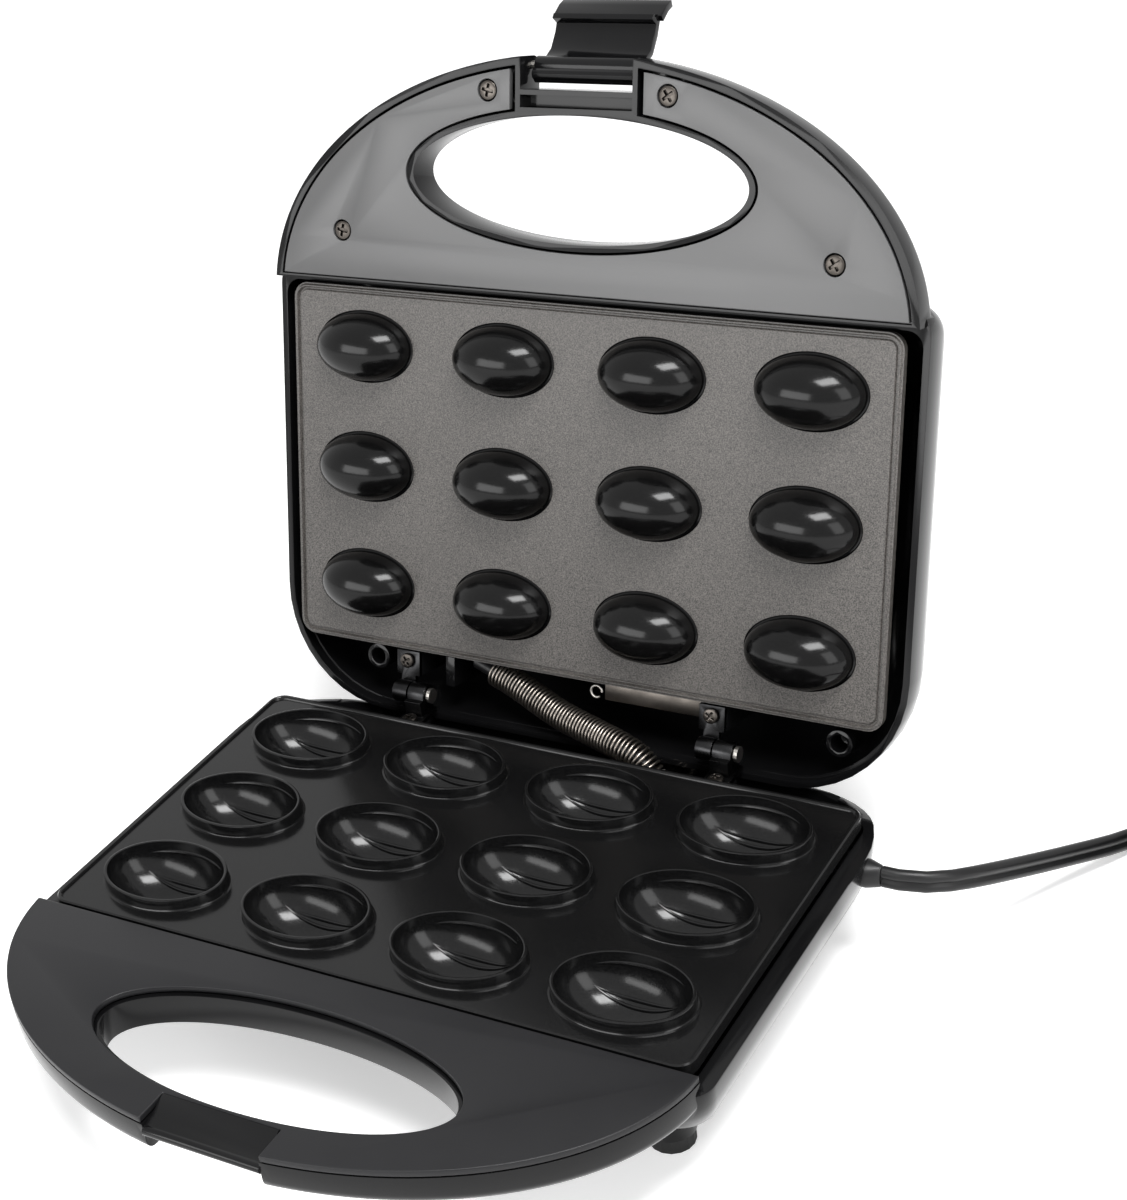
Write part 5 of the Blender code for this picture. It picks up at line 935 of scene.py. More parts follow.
def block(xs, ys, zs):
    """Make a block between two places along each axis."""
    bm = bmesh.new()
    bmesh.ops.create_cube(bm, size=1)
    spans = [sorted(pair) for pair in (xs, ys, zs)]
    bmesh.ops.scale(bm, vec=[high - low for low, high in spans], verts=bm.verts)
    bmesh.ops.translate(bm, vec=[(high + low) / 2 for low, high in spans], verts=bm.verts)
    return bm


def side_profile(outline, half_width):
    """Make a bar with a drawn (y, z) section across the part."""
    bm = bmesh.new()
    corners = [bm.verts.new((-half_width, y, z)) for y, z in outline]
    bmesh.ops.contextual_create(bm, geom=corners)
    made = bmesh.ops.extrude_face_region(bm, geom=bm.faces[:])["geom"]
    moved = [item for item in made if isinstance(item, bmesh.types.BMVert)]
    bmesh.ops.translate(bm, vec=(2 * half_width, 0, 0), verts=moved)
    bmesh.ops.recalc_face_normals(bm, faces=bm.faces)
    return bm


def round_bar(start, end, radius, sides=BAR_SIDES):
    """Make a round bar between two places."""
    bm = bmesh.new()
    rod_between(bm, start, end, radius, sides)
    return bm


def carved_bm(bm, steps):
    """Carve a bmesh by a list of (work, bmesh) and return the carved bmesh."""
    mesh = bpy.data.meshes.new("blank")
    bm.to_mesh(mesh)
    bm.free()
    blank = bpy.data.objects.new("blank", mesh)
    bpy.context.scene.collection.objects.link(blank)
    for work, cutter in steps:
        carved(blank, cutter, work)
    result = bmesh.new()
    result.from_mesh(blank.data)
    bpy.data.objects.remove(blank)
    return result


def rounded_piece(name, bm, finish, body, place, node, edge=EDGE_ROUNDING):
    """Round a carved shape's sharp edges and stand it for its node."""
    bmesh.ops.remove_doubles(bm, verts=bm.verts, dist=WELD)
    piece = finished(name, bm, finish, body, Matrix.Identity(4))
    round_edges(piece, edge)
    return settle(piece, place, node)


def open_lid_place(y, z):
    """Carry a (y, z) place of the closed lid to where the open lid has it."""
    point = LID_TURN @ Vector((0, y, z))
    return point.y, point.z


def rear_sill(y):
    """Return how high the base's rear wall may stand at y under the open lid."""
    near_y, near_z = open_lid_place(LID_TUB[2], LID_RIM_LEVEL)
    far_y, far_z = open_lid_place(LID_TUB[2], LID_RIM_LEVEL + LID_SIDE_HEIGHT)
    return near_z + (far_z - near_z) / (far_y - near_y) * (y - near_y) - PART_GAP


def handle_hollow(reach, wall, low, high, hole, block_half_width):
    """Make the hollow of a handle, which leaves the hand hole's wall and the latch block."""
    return carved_bm(
        half_oval(reach, HANDLE_CAVITY_END_Y, low, high, wall),
        [
            ("DIFFERENCE", hand_hole(hole, HOLE_WALL, low - OVERRUN, high + OVERRUN)),
            ("DIFFERENCE", block(
                (-block_half_width, block_half_width),
                (RECESS_BLOCK_REAR_Y, HANDLE_CENTRE_Y - 2 * reach), (low - OVERRUN, high + OVERRUN),
            )),
        ],
    )


def plate_window(half_width, front, rear, low, high):
    """Make the opening of a casing's rim round its plate."""
    return rounded_slab(
        half_width + PLATE_GAP, front + PLATE_GAP, rear + PLATE_GAP, PLATE_CORNER + PLATE_GAP,
        low, high,
    )


def rounded_window(half_width, front, rear, front_radius, rear_radius, low, high):
    """Make an opening whose rear corners are rounder than its front ones."""
    bm = bmesh.new()
    loop = outline_loop(bm, half_width, front, rear, front_radius, rear_radius, low)
    bmesh.ops.contextual_create(bm, geom=loop)
    made = bmesh.ops.extrude_face_region(bm, geom=bm.faces[:])["geom"]
    raised = [item for item in made if isinstance(item, bmesh.types.BMVert)]
    bmesh.ops.translate(bm, vec=(0, 0, high - low), verts=raised)
    bmesh.ops.recalc_face_normals(bm, faces=bm.faces)
    return bm


def catch_steps(half_width):
    """Return the cuts that open the notch in the base handle, and the bar left in it."""
    wide = (-half_width, half_width)
    front = HANDLE_CENTRE_Y - BASE_REACH - OVERRUN
    top = BASE_HANDLE_TOP + OVERRUN
    low = BASE_HANDLE_BOTTOM - OVERRUN
    fallen = BASE_HANDLE_TOP - NOTCH_FLOOR_FALL
    bar_end = half_width + GAP_MICRO
    return [
        ("DIFFERENCE", block(wide, (front, CATCH_Y), (low, top))),
        ("DIFFERENCE", side_profile([
            (CATCH_Y - OVERRUN, top), (NOTCH_REAR_Y, top), (NOTCH_REAR_Y, BASE_HANDLE_TOP),
            (NOTCH_FRONT_Y, fallen), (CATCH_Y - OVERRUN, fallen)], half_width)),
        ("DIFFERENCE", block(
            wide, (CATCH_Y - OVERRUN, CATCH_RECESS_Y), (low, CATCH_LEVEL - CATCH_RADIUS))),
        ("UNION", round_bar(
            (-bar_end, CATCH_Y, CATCH_LEVEL), (bar_end, CATCH_Y, CATCH_LEVEL), CATCH_RADIUS)),
    ]


def foot_places():
    """Return where the four feet stand."""
    return [(side * x, y) for x, y in (FRONT_FOOT, REAR_FOOT) for side in (-1, 1)]


def lid_knuckle_places():
    """Return the middles of the lid's two hinge knuckles."""
    return [side * HINGE_X + LID_KNUCKLE_SHIFT for side in (-1, 1)]


def base_casing():
    """Make the base tub with its handle, the notch and the catch bar."""
    notch = NOTCH_HALF_WIDTH
    sill_y = PLATE_REAR + PLATE_GAP
    far_y = BASE_TUB[2] + OVERRUN
    rim_under = BASE_RIM_LEVEL - 2 * RIM_THICKNESS
    shell = carved_bm(
        tub_block(BASE_TUB, BASE_RIM_LEVEL, BASE_SIDE_HEIGHT, BASE_FLOOR_LEVEL, 0), [
            ("UNION", half_oval(
                BASE_REACH, BASE_HANDLE_END_Y, BASE_HANDLE_DECK, BASE_HANDLE_BOTTOM,
                rounding=HANDLE_EDGE_ROUNDING)),
            ("UNION", block(
                (-notch, notch), (NOTCH_REAR_Y, HANDLE_CENTRE_Y - BASE_REACH + OVERRUN / 2),
                (BASE_HANDLE_DECK - COVER_THICKNESS, BASE_HANDLE_TOP))),
            ("DIFFERENCE", tub_block(
                BASE_TUB, BASE_RIM_LEVEL - RIM_THICKNESS, 0, BASE_FLOOR_LEVEL, SHELL_WALL)),
            ("DIFFERENCE", handle_hollow(
                BASE_REACH, SHELL_WALL, BASE_HANDLE_BOTTOM + SHELL_WALL, BASE_HANDLE_DECK + OVERRUN,
                [size - BASE_HOLE_STEP for size in BASE_HOLE], notch + NOTCH_SIDE_WALL)),
            ("DIFFERENCE", hand_hole(
                BASE_HOLE, -BASE_HOLE_STEP, BASE_HANDLE_BOTTOM - OVERRUN, BASE_HANDLE_TOP + OVERRUN)),
            *catch_steps(notch),
            ("DIFFERENCE", plate_window(
                PLATE_HALF_WIDTH, PLATE_FRONT, PLATE_REAR, rim_under, BASE_HANDLE_TOP)),
            ("DIFFERENCE", block(
                (-WELL_HALF_WIDTH, WELL_HALF_WIDTH),
                (PLATE_REAR - OVERRUN, BASE_TUB[2] - SHELL_WALL), (rim_under, BASE_HANDLE_TOP))),
            ("DIFFERENCE", side_profile([
                (sill_y, rear_sill(sill_y)), (far_y, rear_sill(far_y)), (far_y, BASE_HANDLE_TOP),
                (sill_y, BASE_HANDLE_TOP)], REAR_SILL_HALF_WIDTH)),
            *(("UNION", round_bar(
                (x, y, FOOT_SEAT_LEVEL), (x, y, FOOT_SEAT_TOP), FOOT_SEAT_RADIUS))
              for x, y in foot_places()),
            *(("UNION", block(
                (x - HINGE_POST_HALF_WIDTH, x + HINGE_POST_HALF_WIDTH),
                BASE_POST_YS, BASE_POST_ZS)) for x in (-HINGE_X, HINGE_X)),
        ],
    )
    rounded_piece("base_casing", shell, "gloss_black", "base", BASE_PLACE, "lower_casing")


def base_cover():
    """Make the flat matt plate on the base handle."""
    low = BASE_HANDLE_DECK + PART_GAP
    notch = NOTCH_HALF_WIDTH + PART_GAP
    cover = carved_bm(half_oval(BASE_REACH, BASE_HANDLE_END_Y, low, BASE_HANDLE_TOP), [
        ("DIFFERENCE", hand_hole(BASE_HOLE, 0, low - OVERRUN, BASE_HANDLE_TOP + OVERRUN)),
        ("DIFFERENCE", block(
            (-notch, notch), (NOTCH_REAR_Y + PART_GAP, HANDLE_CENTRE_Y - 2 * BASE_REACH),
            (low - OVERRUN, BASE_HANDLE_TOP + OVERRUN))),
    ])
    rounded_piece(
        "base_handle_plate", cover, "satin_black", "base", BASE_PLACE, "lower_handle_cover"
    )


def lid_casing():
    """Make the lid tub with its handle and the latch recess."""
    slot = NOTCH_HALF_WIDTH
    wing = slot + RECESS_WALL
    front = HANDLE_CENTRE_Y - 2 * LID_REACH
    below = LID_HANDLE_FACE - OVERRUN
    pocket = carved_bm(
        half_oval(LID_REACH, LID_COVER_END_Y + PLATE_GAP, below, LID_COVER_BACK + PART_GAP,
                  LID_HANDLE_WALL), [
            ("DIFFERENCE", block((-wing, wing), (RECESS_BLOCK_REAR_Y, front),
                                 (below - OVERRUN, LID_COVER_BACK + OVERRUN))),
            ("DIFFERENCE", hand_hole(LID_HOLE, HOLE_WALL, below - OVERRUN, LID_COVER_BACK + OVERRUN)),
        ])
    over_rim = LID_RIM_LEVEL + 2 * RIM_THICKNESS
    shell = carved_bm(tub_block(LID_TUB, LID_RIM_LEVEL, LID_SIDE_HEIGHT, LID_TOP_LEVEL, 0), [
        ("UNION", half_oval(LID_REACH, LID_HANDLE_END_Y, LID_HANDLE_FACE, LID_HANDLE_BACK,
                            rounding=HANDLE_EDGE_ROUNDING)),
        ("DIFFERENCE", tub_block(
            LID_TUB, LID_RIM_LEVEL + RIM_THICKNESS, LID_SIDE_HEIGHT - RIM_THICKNESS,
            LID_TOP_LEVEL, SHELL_WALL)),
        ("DIFFERENCE", handle_hollow(
            LID_REACH, LID_HANDLE_WALL, LID_COVER_BACK - OVERRUN, LID_HANDLE_BACK - SHELL_WALL,
            LID_HOLE, wing)),
        ("DIFFERENCE", pocket),
        ("DIFFERENCE", hand_hole(LID_HOLE, 0, below, LID_HANDLE_BACK + OVERRUN)),
        ("DIFFERENCE", block((-slot, slot), (RECESS_BAR_FRONT_Y, front),
                             (below, LID_HANDLE_BACK + OVERRUN))),
        ("DIFFERENCE", block((-slot, slot), (RECESS_BAR_REAR_Y, RECESS_REAR_Y),
                             (below, LID_HANDLE_FACE + RECESS_POCKET_DEPTH))),
        ("DIFFERENCE", rounded_window(
            LID_TUB[0] - LID_RIM_WIDTH, UPPER_FRONT + PLATE_GAP, LID_TUB[2] - LID_RIM_WIDTH,
            PLATE_CORNER, LID_TUB[4] - LID_RIM_WIDTH, LID_HANDLE_FACE, over_rim)),
        *(("UNION", block(
            (x - HINGE_POST_HALF_WIDTH, x + HINGE_POST_HALF_WIDTH),
            LID_POST_YS, LID_POST_ZS)) for x in lid_knuckle_places()),
    ])
    rounded_piece("lid_casing", shell, "gloss_black", "lid", LID_PLACE, "upper_casing")


def lid_cover():
    """Make the plate that is set into the lid's handle."""
    low, high = LID_HANDLE_FACE, LID_COVER_BACK
    wing = NOTCH_HALF_WIDTH + RECESS_WALL + RECESS_GROOVE
    steps = [
        ("DIFFERENCE", hand_hole(LID_HOLE, HOLE_WALL + LID_GROOVE, low - OVERRUN, high + OVERRUN)),
        ("DIFFERENCE", block((-wing, wing), (RECESS_BLOCK_REAR_Y, HANDLE_CENTRE_Y - 2 * LID_REACH),
                             (low - OVERRUN, high + OVERRUN))),
    ]
    for x, y in lid_screw_places():
        steps.append(("DIFFERENCE", round_bar(
            (x, y, low - OVERRUN), (x, y, high + OVERRUN), COVER_SCREW_HEAD_RADIUS + SCREW_RING)))
    cover = carved_bm(
        half_oval(LID_REACH, LID_COVER_END_Y, low, high, LID_HANDLE_WALL + LID_GROOVE), steps
    )
    # The lid's handle plate takes the paler copy of the satin plastic: painted light
    rounded_piece("lid_handle_plate", cover, "lid_satin_painted_light", "lid", LID_PLACE, "upper_handle_cover")


# Screws

COVER_SCREW_INNER = (0.0292, -0.1178)
COVER_SCREW_OUTER = (0.0812, -0.0744)
BASE_SCREW_INNER_Y = -0.1160
COVER_SCREW_HEAD_RADIUS = 0.0029
COVER_SCREW_RADIUS = 0.0014
COVER_SCREW_HEAD_HEIGHT = 0.0014
COVER_SCREW_LENGTH = 0.0058
SCREW_RING = 0.0004
CROSS_ARM_SHARE = 0.66
CROSS_WIDTH_SHARE = 0.15
CROSS_DEPTH_SHARE = 0.90
SCREW_SIDES = 36

# A head's dome: its share of the head, then shares of its radius and of its height
DOME_SHARE = 0.35
DOME_RINGS = [(0.94, 0.45), (0.75, 0.12), (0.40, 0)]


def lid_screw_places():
    """Return the places of the four screws of the lid's handle plate."""
    return [(side * x, y) for x, y in (COVER_SCREW_INNER, COVER_SCREW_OUTER) for side in (-1, 1)]


def cross_screw(name, place, direction, sizes, body, placed, node):
    """Make a screw with a domed head and a cross recess; its head starts at place."""
    radius, length, head_radius, head_height = sizes
    dome = head_height * DOME_SHARE
    rings = [
        (radius, radius, head_height + length), (radius, radius, head_height),
        (head_radius, head_radius, head_height), (head_radius, head_radius, dome),
    ]
    rings += [(head_radius * wide, head_radius * wide, dome * high) for wide, high in DOME_RINGS]
    arm = head_radius * CROSS_ARM_SHARE
    half = head_radius * CROSS_WIDTH_SHARE
    depth = head_height * CROSS_DEPTH_SHARE
    screw = carved_bm(rings_solid(rings, SCREW_SIDES), [
        ("DIFFERENCE", block((-arm, arm), (-half, half), (-dome, depth))),
        ("DIFFERENCE", block((-half, half), (-arm, arm), (-dome, depth))),
    ])
    turn = Matrix.Rotation(math.radians(SCREW_TURN_DEG[len(name) % 4]), 4, "Z")
    facing = Vector(direction).to_track_quat("Z", "Y").to_matrix().to_4x4()
    bmesh.ops.transform(
        screw, matrix=Matrix.Translation(place) @ facing @ turn, verts=screw.verts
    )
    rounded_piece(name, screw, "dark_screw", body, placed, node, edge=SCREW_EDGE)


SCREW_EDGE = 0.00008
SCREW_TURN_DEG = (12, 55, 30, 71)
HINGE_X = 0.0540
LID_KNUCKLE_SHIFT = -0.0062
BASE_PAD_TOP = -0.0065
BASE_HINGE_SCREW_Y = 0.0638
LID_HINGE_SCREW_Y = 0.0623
LID_PAD_LEVEL = 0.0011
HINGE_SCREW_SIZES = (0.0013, 0.0050, 0.0024, 0.0012)


def all_screws():
    """Make the cross-head screws of the covers and the hinges."""
    cover_sizes = (
        COVER_SCREW_RADIUS, COVER_SCREW_LENGTH, COVER_SCREW_HEAD_RADIUS, COVER_SCREW_HEAD_HEIGHT
    )
    for side, mark in ((-1, "left"), (1, "right")):
        for name, (x, y) in (("inner", COVER_SCREW_INNER), ("outer", COVER_SCREW_OUTER)):
            node = f"upper_cover_screw_{name}_{mark}"
            cross_screw(f"lid_screw_{name}_{mark}", (side * x, y, LID_HANDLE_FACE), (0, 0, 1),
                        cover_sizes, "lid", LID_PLACE, node)
        for name, (x, y) in (
            ("inner", (COVER_SCREW_INNER[0], BASE_SCREW_INNER_Y)), ("outer", COVER_SCREW_OUTER)
        ):
            node = f"lower_cover_screw_{name}_{mark}"
            head = BASE_HANDLE_BOTTOM - PART_GAP - COVER_SCREW_HEAD_HEIGHT
            cross_screw(f"base_screw_{name}_{mark}", (side * x, y, head), (0, 0, 1),
                        cover_sizes, "base", BASE_PLACE, node)
        head_height = HINGE_SCREW_SIZES[-1]
        cross_screw(
            f"hinge_screw_low_{mark}",
            (side * HINGE_X, BASE_HINGE_SCREW_Y, BASE_PAD_TOP + PART_GAP + head_height),
            (0, 0, -1), HINGE_SCREW_SIZES, "base", BASE_PLACE, f"hinge_base_screw_{mark}",
        )
        cross_screw(
            f"hinge_screw_high_{mark}",
            (side * HINGE_X + LID_KNUCKLE_SHIFT, LID_HINGE_SCREW_Y,
             LID_PAD_LEVEL - PART_GAP - head_height),
            (0, 0, 1), HINGE_SCREW_SIZES, "lid", LID_PLACE, f"hinge_lid_screw_{mark}",
        )


# Spring conduit

CONDUIT_RADIUS = 0.0048
CONDUIT_WIRE_RADIUS = 0.00042
CONDUIT_CURLS = 54
CONDUIT_CURL_POINTS = 18
CONDUIT_CORE_RADIUS = 0.0026
CONDUIT_CORE_TAIL = 0.0080
CONDUIT_ROUTE = [
    (-0.0310, 0.0835, 0.0045), (-0.0220, 0.0815, 0.0022), (-0.0060, 0.0770, -0.0024),
    (0.0090, 0.0730, -0.0043), (0.0190, 0.0700, -0.0052), (0.0262, 0.0683, -0.0075),
    (0.0305, 0.0668, -0.0118), (0.0318, 0.0656, -0.0172),
]


CURVE_STEPS = 20
WINDING_FINENESS = 5


def smooth_route(points, step):
    """Read evenly spaced points from a smooth curve through the given ones."""
    points = [Vector(p) for p in points]
    padded = [2 * points[0] - points[1]] + points + [2 * points[-1] - points[-2]]
    fine = []
    for a, b, c, d in zip(padded, padded[1:], padded[2:], padded[3:]):
        for i in range(CURVE_STEPS):
            t = i / CURVE_STEPS
            fine.append(
                (2 * b + (c - a) * t + (2 * a - 5 * b + 4 * c - d) * t * t
                 + (3 * b - a - 3 * c + d) * t ** 3) / 2
            )
    fine.append(points[-1])
    lengths = [0]
    for a, b in zip(fine, fine[1:]):
        lengths.append(lengths[-1] + (b - a).length)
    count = max(round(lengths[-1] / step), 2)
    route = []
    place = 0
    for i in range(count + 1):
        want = lengths[-1] * i / count
        while place < len(fine) - 2 and lengths[place + 1] < want:
            place += 1
        span = lengths[place + 1] - lengths[place]
        share = (want - lengths[place]) / span if span else 0
        route.append(fine[place].lerp(fine[place + 1], share))
    return route


def wound_wire(route_points, radius, curls, curl_points):
    """Wind a wire round a smooth route."""
    fine = smooth_route(route_points, radius / WINDING_FINENESS)
    side = Vector((0, 0, 1))
    rings = []
    for i, point in enumerate(fine):
        ahead = (fine[min(i + 1, len(fine) - 1)] - fine[max(i - 1, 0)]).normalized()
        side = (side - ahead * side.dot(ahead)).normalized()
        rings.append((point, side.copy(), ahead.cross(side)))
    wire = []
    count = curls * curl_points
    for i in range(count + 1):
        where = (len(rings) - 1) * i / count
        near = min(int(where), len(rings) - 2)
        centre = rings[near][0].lerp(rings[near + 1][0], where - near)
        up, across = rings[near][1], rings[near][2]
        angle = 2 * math.pi * i / curl_points
        wire.append(centre + (up * math.cos(angle) + across * math.sin(angle)) * radius)
    return wire


def curve_tube(name, points, radius, round_steps, finish, cyclic=False):
    """Draw a round tube along points as a curve."""
    data = bpy.data.curves.new(name, "CURVE")
    data.dimensions = "3D"
    data.bevel_depth = radius
    data.bevel_resolution = round_steps
    data.use_fill_caps = not cyclic
    line = data.splines.new("POLY")
    line.points.add(len(points) - 1)
    for control, point in zip(line.points, points):
        control.co = (*point, 1)
    line.use_smooth = True
    line.use_cyclic_u = cyclic
    data.materials.append(FINISHES[finish])
    piece = bpy.data.objects.new(name, data)
    bpy.context.scene.collection.objects.link(piece)
    return piece


def curve_mesh(piece):
    """Turn a curve piece into a smooth mesh piece of the same name."""
    bpy.context.view_layer.update()
    mesh = bpy.data.meshes.new_from_object(
        piece.evaluated_get(bpy.context.evaluated_depsgraph_get())
    )
    name = piece.name
    old = piece.data
    bpy.data.objects.remove(piece)
    bpy.data.curves.remove(old)
    mesh.polygons.foreach_set("use_smooth", [True] * len(mesh.polygons))
    made = bpy.data.objects.new(name, mesh)
    bpy.context.scene.collection.objects.link(made)
    return made


def in_place(points):
    """Carry drawing points to where the part stands."""
    return [BASE_PLACE @ Vector(point) for point in points]


def conduit():
    """Make the sprung conduit with its wires, bent between the base and the lid."""
    wire_path = CONDUIT_RADIUS - CONDUIT_WIRE_RADIUS
    wire = in_place(wound_wire(CONDUIT_ROUTE, wire_path, CONDUIT_CURLS, CONDUIT_CURL_POINTS))
    spring = curve_mesh(curve_tube(
        "conduit_spring_dressed", wire, CONDUIT_WIRE_RADIUS, 1, "spring_steel"
    ))
    route = smooth_route(CONDUIT_ROUTE, CONDUIT_CORE_RADIUS / 2)
    head = (route[0] - route[1]).normalized() * CONDUIT_CORE_TAIL
    foot = (route[-1] - route[-2]).normalized() * CONDUIT_CORE_TAIL
    core_route = in_place([route[0] + head] + route + [route[-1] + foot])
    core = curve_mesh(curve_tube(
        "conduit_wires_dressed", core_route, CONDUIT_CORE_RADIUS, 4, "cord_black"
    ))
    for piece, node in ((spring, "spring_conduit"), (core, "conduit_wiring")):
        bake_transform(piece)
        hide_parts(node)


# Power cord

CORD_RADIUS = 0.0034
CORD_WIRE_RADIUS = 0.0018
CORD_POINT_STEP = 0.0075
CORD_ROUTE = [
    (0.1133, 0.0455, -0.0140), (0.1180, 0.0456, -0.0141), (0.1250, 0.0477, -0.0146),
    (0.1308, 0.0526, -0.0160), (0.1357, 0.0605, -0.0187), (0.1415, 0.0740, -0.0240),
    (0.1505, 0.0940, -0.0312), (0.1618, 0.1160, -0.0375),
]
COIL_CENTRE = (0.2117, 0.1205)
COIL_MIDDLE_RADIUS = 0.0360
COIL_SPACING = 0.0006
COIL_HALF_TURNS = 1.5
COIL_POINTS = 48
COIL_START_DEG = 150.0
CORD_TAIL_DEG = 110.0
TAIL_STEPS = 20
TIE_WALL = 0.0008
TIE_CLEARANCE = 0.0004
COIL_LEVEL = TABLE_LEVEL + TIE_WALL + TIE_CLEARANCE + CORD_RADIUS
COIL_PITCH = 2 * CORD_RADIUS + COIL_SPACING


def coil_points():
    """Return the coil: spiralled in on the table, over itself half a turn, and out again."""
    half = COIL_HALF_TURNS * COIL_POINTS
    points = []
    for i in range(round(2 * half) + 1):
        turns = (i - half) / COIL_POINTS
        radius = COIL_MIDDLE_RADIUS + COIL_PITCH * (abs(turns) - COIL_HALF_TURNS / 2)
        climb = min(max(turns * 2 + 0.5, 0), 1)
        angle = math.radians(COIL_START_DEG) - 2 * math.pi * i / COIL_POINTS
        points.append(Vector((
            COIL_CENTRE[0] + radius * math.cos(angle), COIL_CENTRE[1] + radius * math.sin(angle),
            COIL_LEVEL + COIL_PITCH * climb,
        )))
    return points


def smooth_share(value, start, end):
    """Rise smoothly from 0 to 1 between start and end."""
    share = min(max((value - start) / (end - start), 0), 1)
    return share * share * (3 - 2 * share)


def tail_points():
    """Return the cord's tail, from the top of the coil round it and down to the plug."""
    start = math.radians(COIL_START_DEG) - 4 * math.pi * COIL_HALF_TURNS
    outer = COIL_MIDDLE_RADIUS + COIL_PITCH * COIL_HALF_TURNS / 2
    points = []
    for i in range(TAIL_STEPS + 1):
        turned = CORD_TAIL_DEG * i / TAIL_STEPS
        radius = outer + (COIL_PITCH + COIL_SPACING) * smooth_share(turned, 0, CORD_TAIL_DEG * 2 / 3)
        drop = COIL_PITCH * smooth_share(turned, CORD_TAIL_DEG / 4, CORD_TAIL_DEG)
        angle = start - math.radians(turned)
        points.append(Vector((
            COIL_CENTRE[0] + radius * math.cos(angle), COIL_CENTRE[1] + radius * math.sin(angle),
            COIL_LEVEL + COIL_PITCH - drop,
        )))
    return points


def cord_line():
    """Return the whole line of the cord, from the bushing to the plug."""
    coil = coil_points()
    along = (coil[1] - coil[0]).normalized()
    entry = coil[0] - along * 2 * CORD_RADIUS
    finish = entry - along * PART_GAP
    run = smooth_route(CORD_ROUTE[1:] + [finish - along * 2 * CORD_RADIUS], CORD_POINT_STEP)
    tail = tail_points()
    heading = tail[-1] - tail[-2]
    heading.z = 0
    heading.normalize()
    end = tail[-1] + heading * 2 * CORD_RADIUS
    line = [Vector(CORD_ROUTE[0])] + run + [finish, entry] + coil + tail[1:] + [end]
    return in_place(line)


LEAD_STEPS = 10


def flat_lead_outline():
    """Return the section of a flat twin lead on its edge: two round wires side by side."""
    data = bpy.data.curves.new("lead_section", "CURVE")
    data.dimensions = "2D"
    line = data.splines.new("POLY")
    points = []
    for side in (1, -1):
        for i in range(LEAD_STEPS + 1):
            turn = math.radians(LEAD_WAIST_DEG + (360 - 2 * LEAD_WAIST_DEG) * i / LEAD_STEPS)
            centre = side * (CORD_RADIUS - CORD_WIRE_RADIUS)
            across = -side * CORD_WIRE_RADIUS * math.sin(turn)
            points.append((across, centre - side * CORD_WIRE_RADIUS * math.cos(turn)))
    line.points.add(len(points) - 1)
    for control, (x, y) in zip(line.points, points):
        control.co = (x, y, 0, 1)
    line.use_cyclic_u = True
    holder = bpy.data.objects.new("lead_section", data)
    bpy.context.scene.collection.objects.link(holder)
    return holder


LEAD_WAIST_DEG = 32.0


def power_lead():
    """Make the flat twin cord from the bushing to its plug."""
    points = cord_line()
    section = flat_lead_outline()
    piece = curve_tube("power_cord_dressed", points, 0, 0, "cord_black")
    piece.data.bevel_mode = "OBJECT"
    piece.data.bevel_object = section
    piece.data.twist_mode = "Z_UP"
    cord = curve_mesh(piece)
    bpy.data.objects.remove(section)
    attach(cord, "base")
    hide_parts("power_cord", "cord_coil")
    length = sum((b - a).length for a, b in zip(points, points[1:]))
    print("cord length, m:", round(length, 4))
    return cord


# Small pieces that show behind the open lid's plate

LID_BOSS_PLACES = ((-0.0743, 0.0642), (0.0871, 0.0654))
LID_BOSS_RADIUS = 0.0042
LID_BOSS_BORE = 0.0026
LID_BOSS_FACE = 0.0050
LID_BOSS_END = 0.0150
SHIELD_STRIP_XS = (0.0096, 0.0428)
SHIELD_STRIP_YS = (0.0592, 0.0650)
SHIELD_STRIP_ZS = (0.0048, 0.0056)
WIRE_EYE_PLACE = (0.0066, 0.0628, 0.0052)
WIRE_EYE_RADIUS = 0.0019
WIRE_RADIUS = 0.00045
LID_RIB_XS = (-0.0482, -0.0448)
LID_RIB_YS = (0.0600, 0.0700)
LID_RIB_ZS = (0.0046, 0.0300)


def lid_inside():
    """Make the bosses, the rib, the shield's flange and the wire eye inside the lid's rear."""
    bosses = bmesh.new()
    for x, y in LID_BOSS_PLACES:
        boss = carved_bm(
            round_bar((x, y, LID_BOSS_FACE), (x, y, LID_BOSS_END), LID_BOSS_RADIUS), [
                ("DIFFERENCE", round_bar(
                    (x, y, LID_BOSS_FACE - OVERRUN), (x, y, LID_BOSS_END - OVERRUN), LID_BOSS_BORE)),
            ])
        join_into(bosses, boss)
    join_into(bosses, block(LID_RIB_XS, LID_RIB_YS, LID_RIB_ZS))
    added_piece("lid_bosses", bosses, "gloss_black", "lid", LID_PLACE)
    strip = block(SHIELD_STRIP_XS, SHIELD_STRIP_YS, SHIELD_STRIP_ZS)
    added_piece("shield_flange", strip, "dark_screw", "lid", LID_PLACE)
    eye = [
        Vector(WIRE_EYE_PLACE) + Vector((math.cos(turn), math.sin(turn), 0)) * WIRE_EYE_RADIUS
        for turn in (math.radians(WIRE_EYE_OPEN_DEG + (360 - WIRE_EYE_OPEN_DEG) * i / WIRE_EYE_STEPS)
                     for i in range(WIRE_EYE_STEPS + 1))
    ]
    ring = curve_mesh(curve_tube(
        "wire_eye", [LID_PLACE @ point for point in eye], WIRE_RADIUS, 2, "bright_steel"
    ))
    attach(ring, "lid")


WIRE_EYE_STEPS = 24
WIRE_EYE_OPEN_DEG = 50.0


def added_piece(name, bm, finish, body, place, edge=ADDED_EDGE):
    """Make a piece that stands for no node of its own."""
    piece = finished(name, bm, finish, body, Matrix.Identity(4))
    round_edges(piece, edge, SMALL_EDGE_STEPS)
    settle(piece, place)
    return piece


# Cord bushing

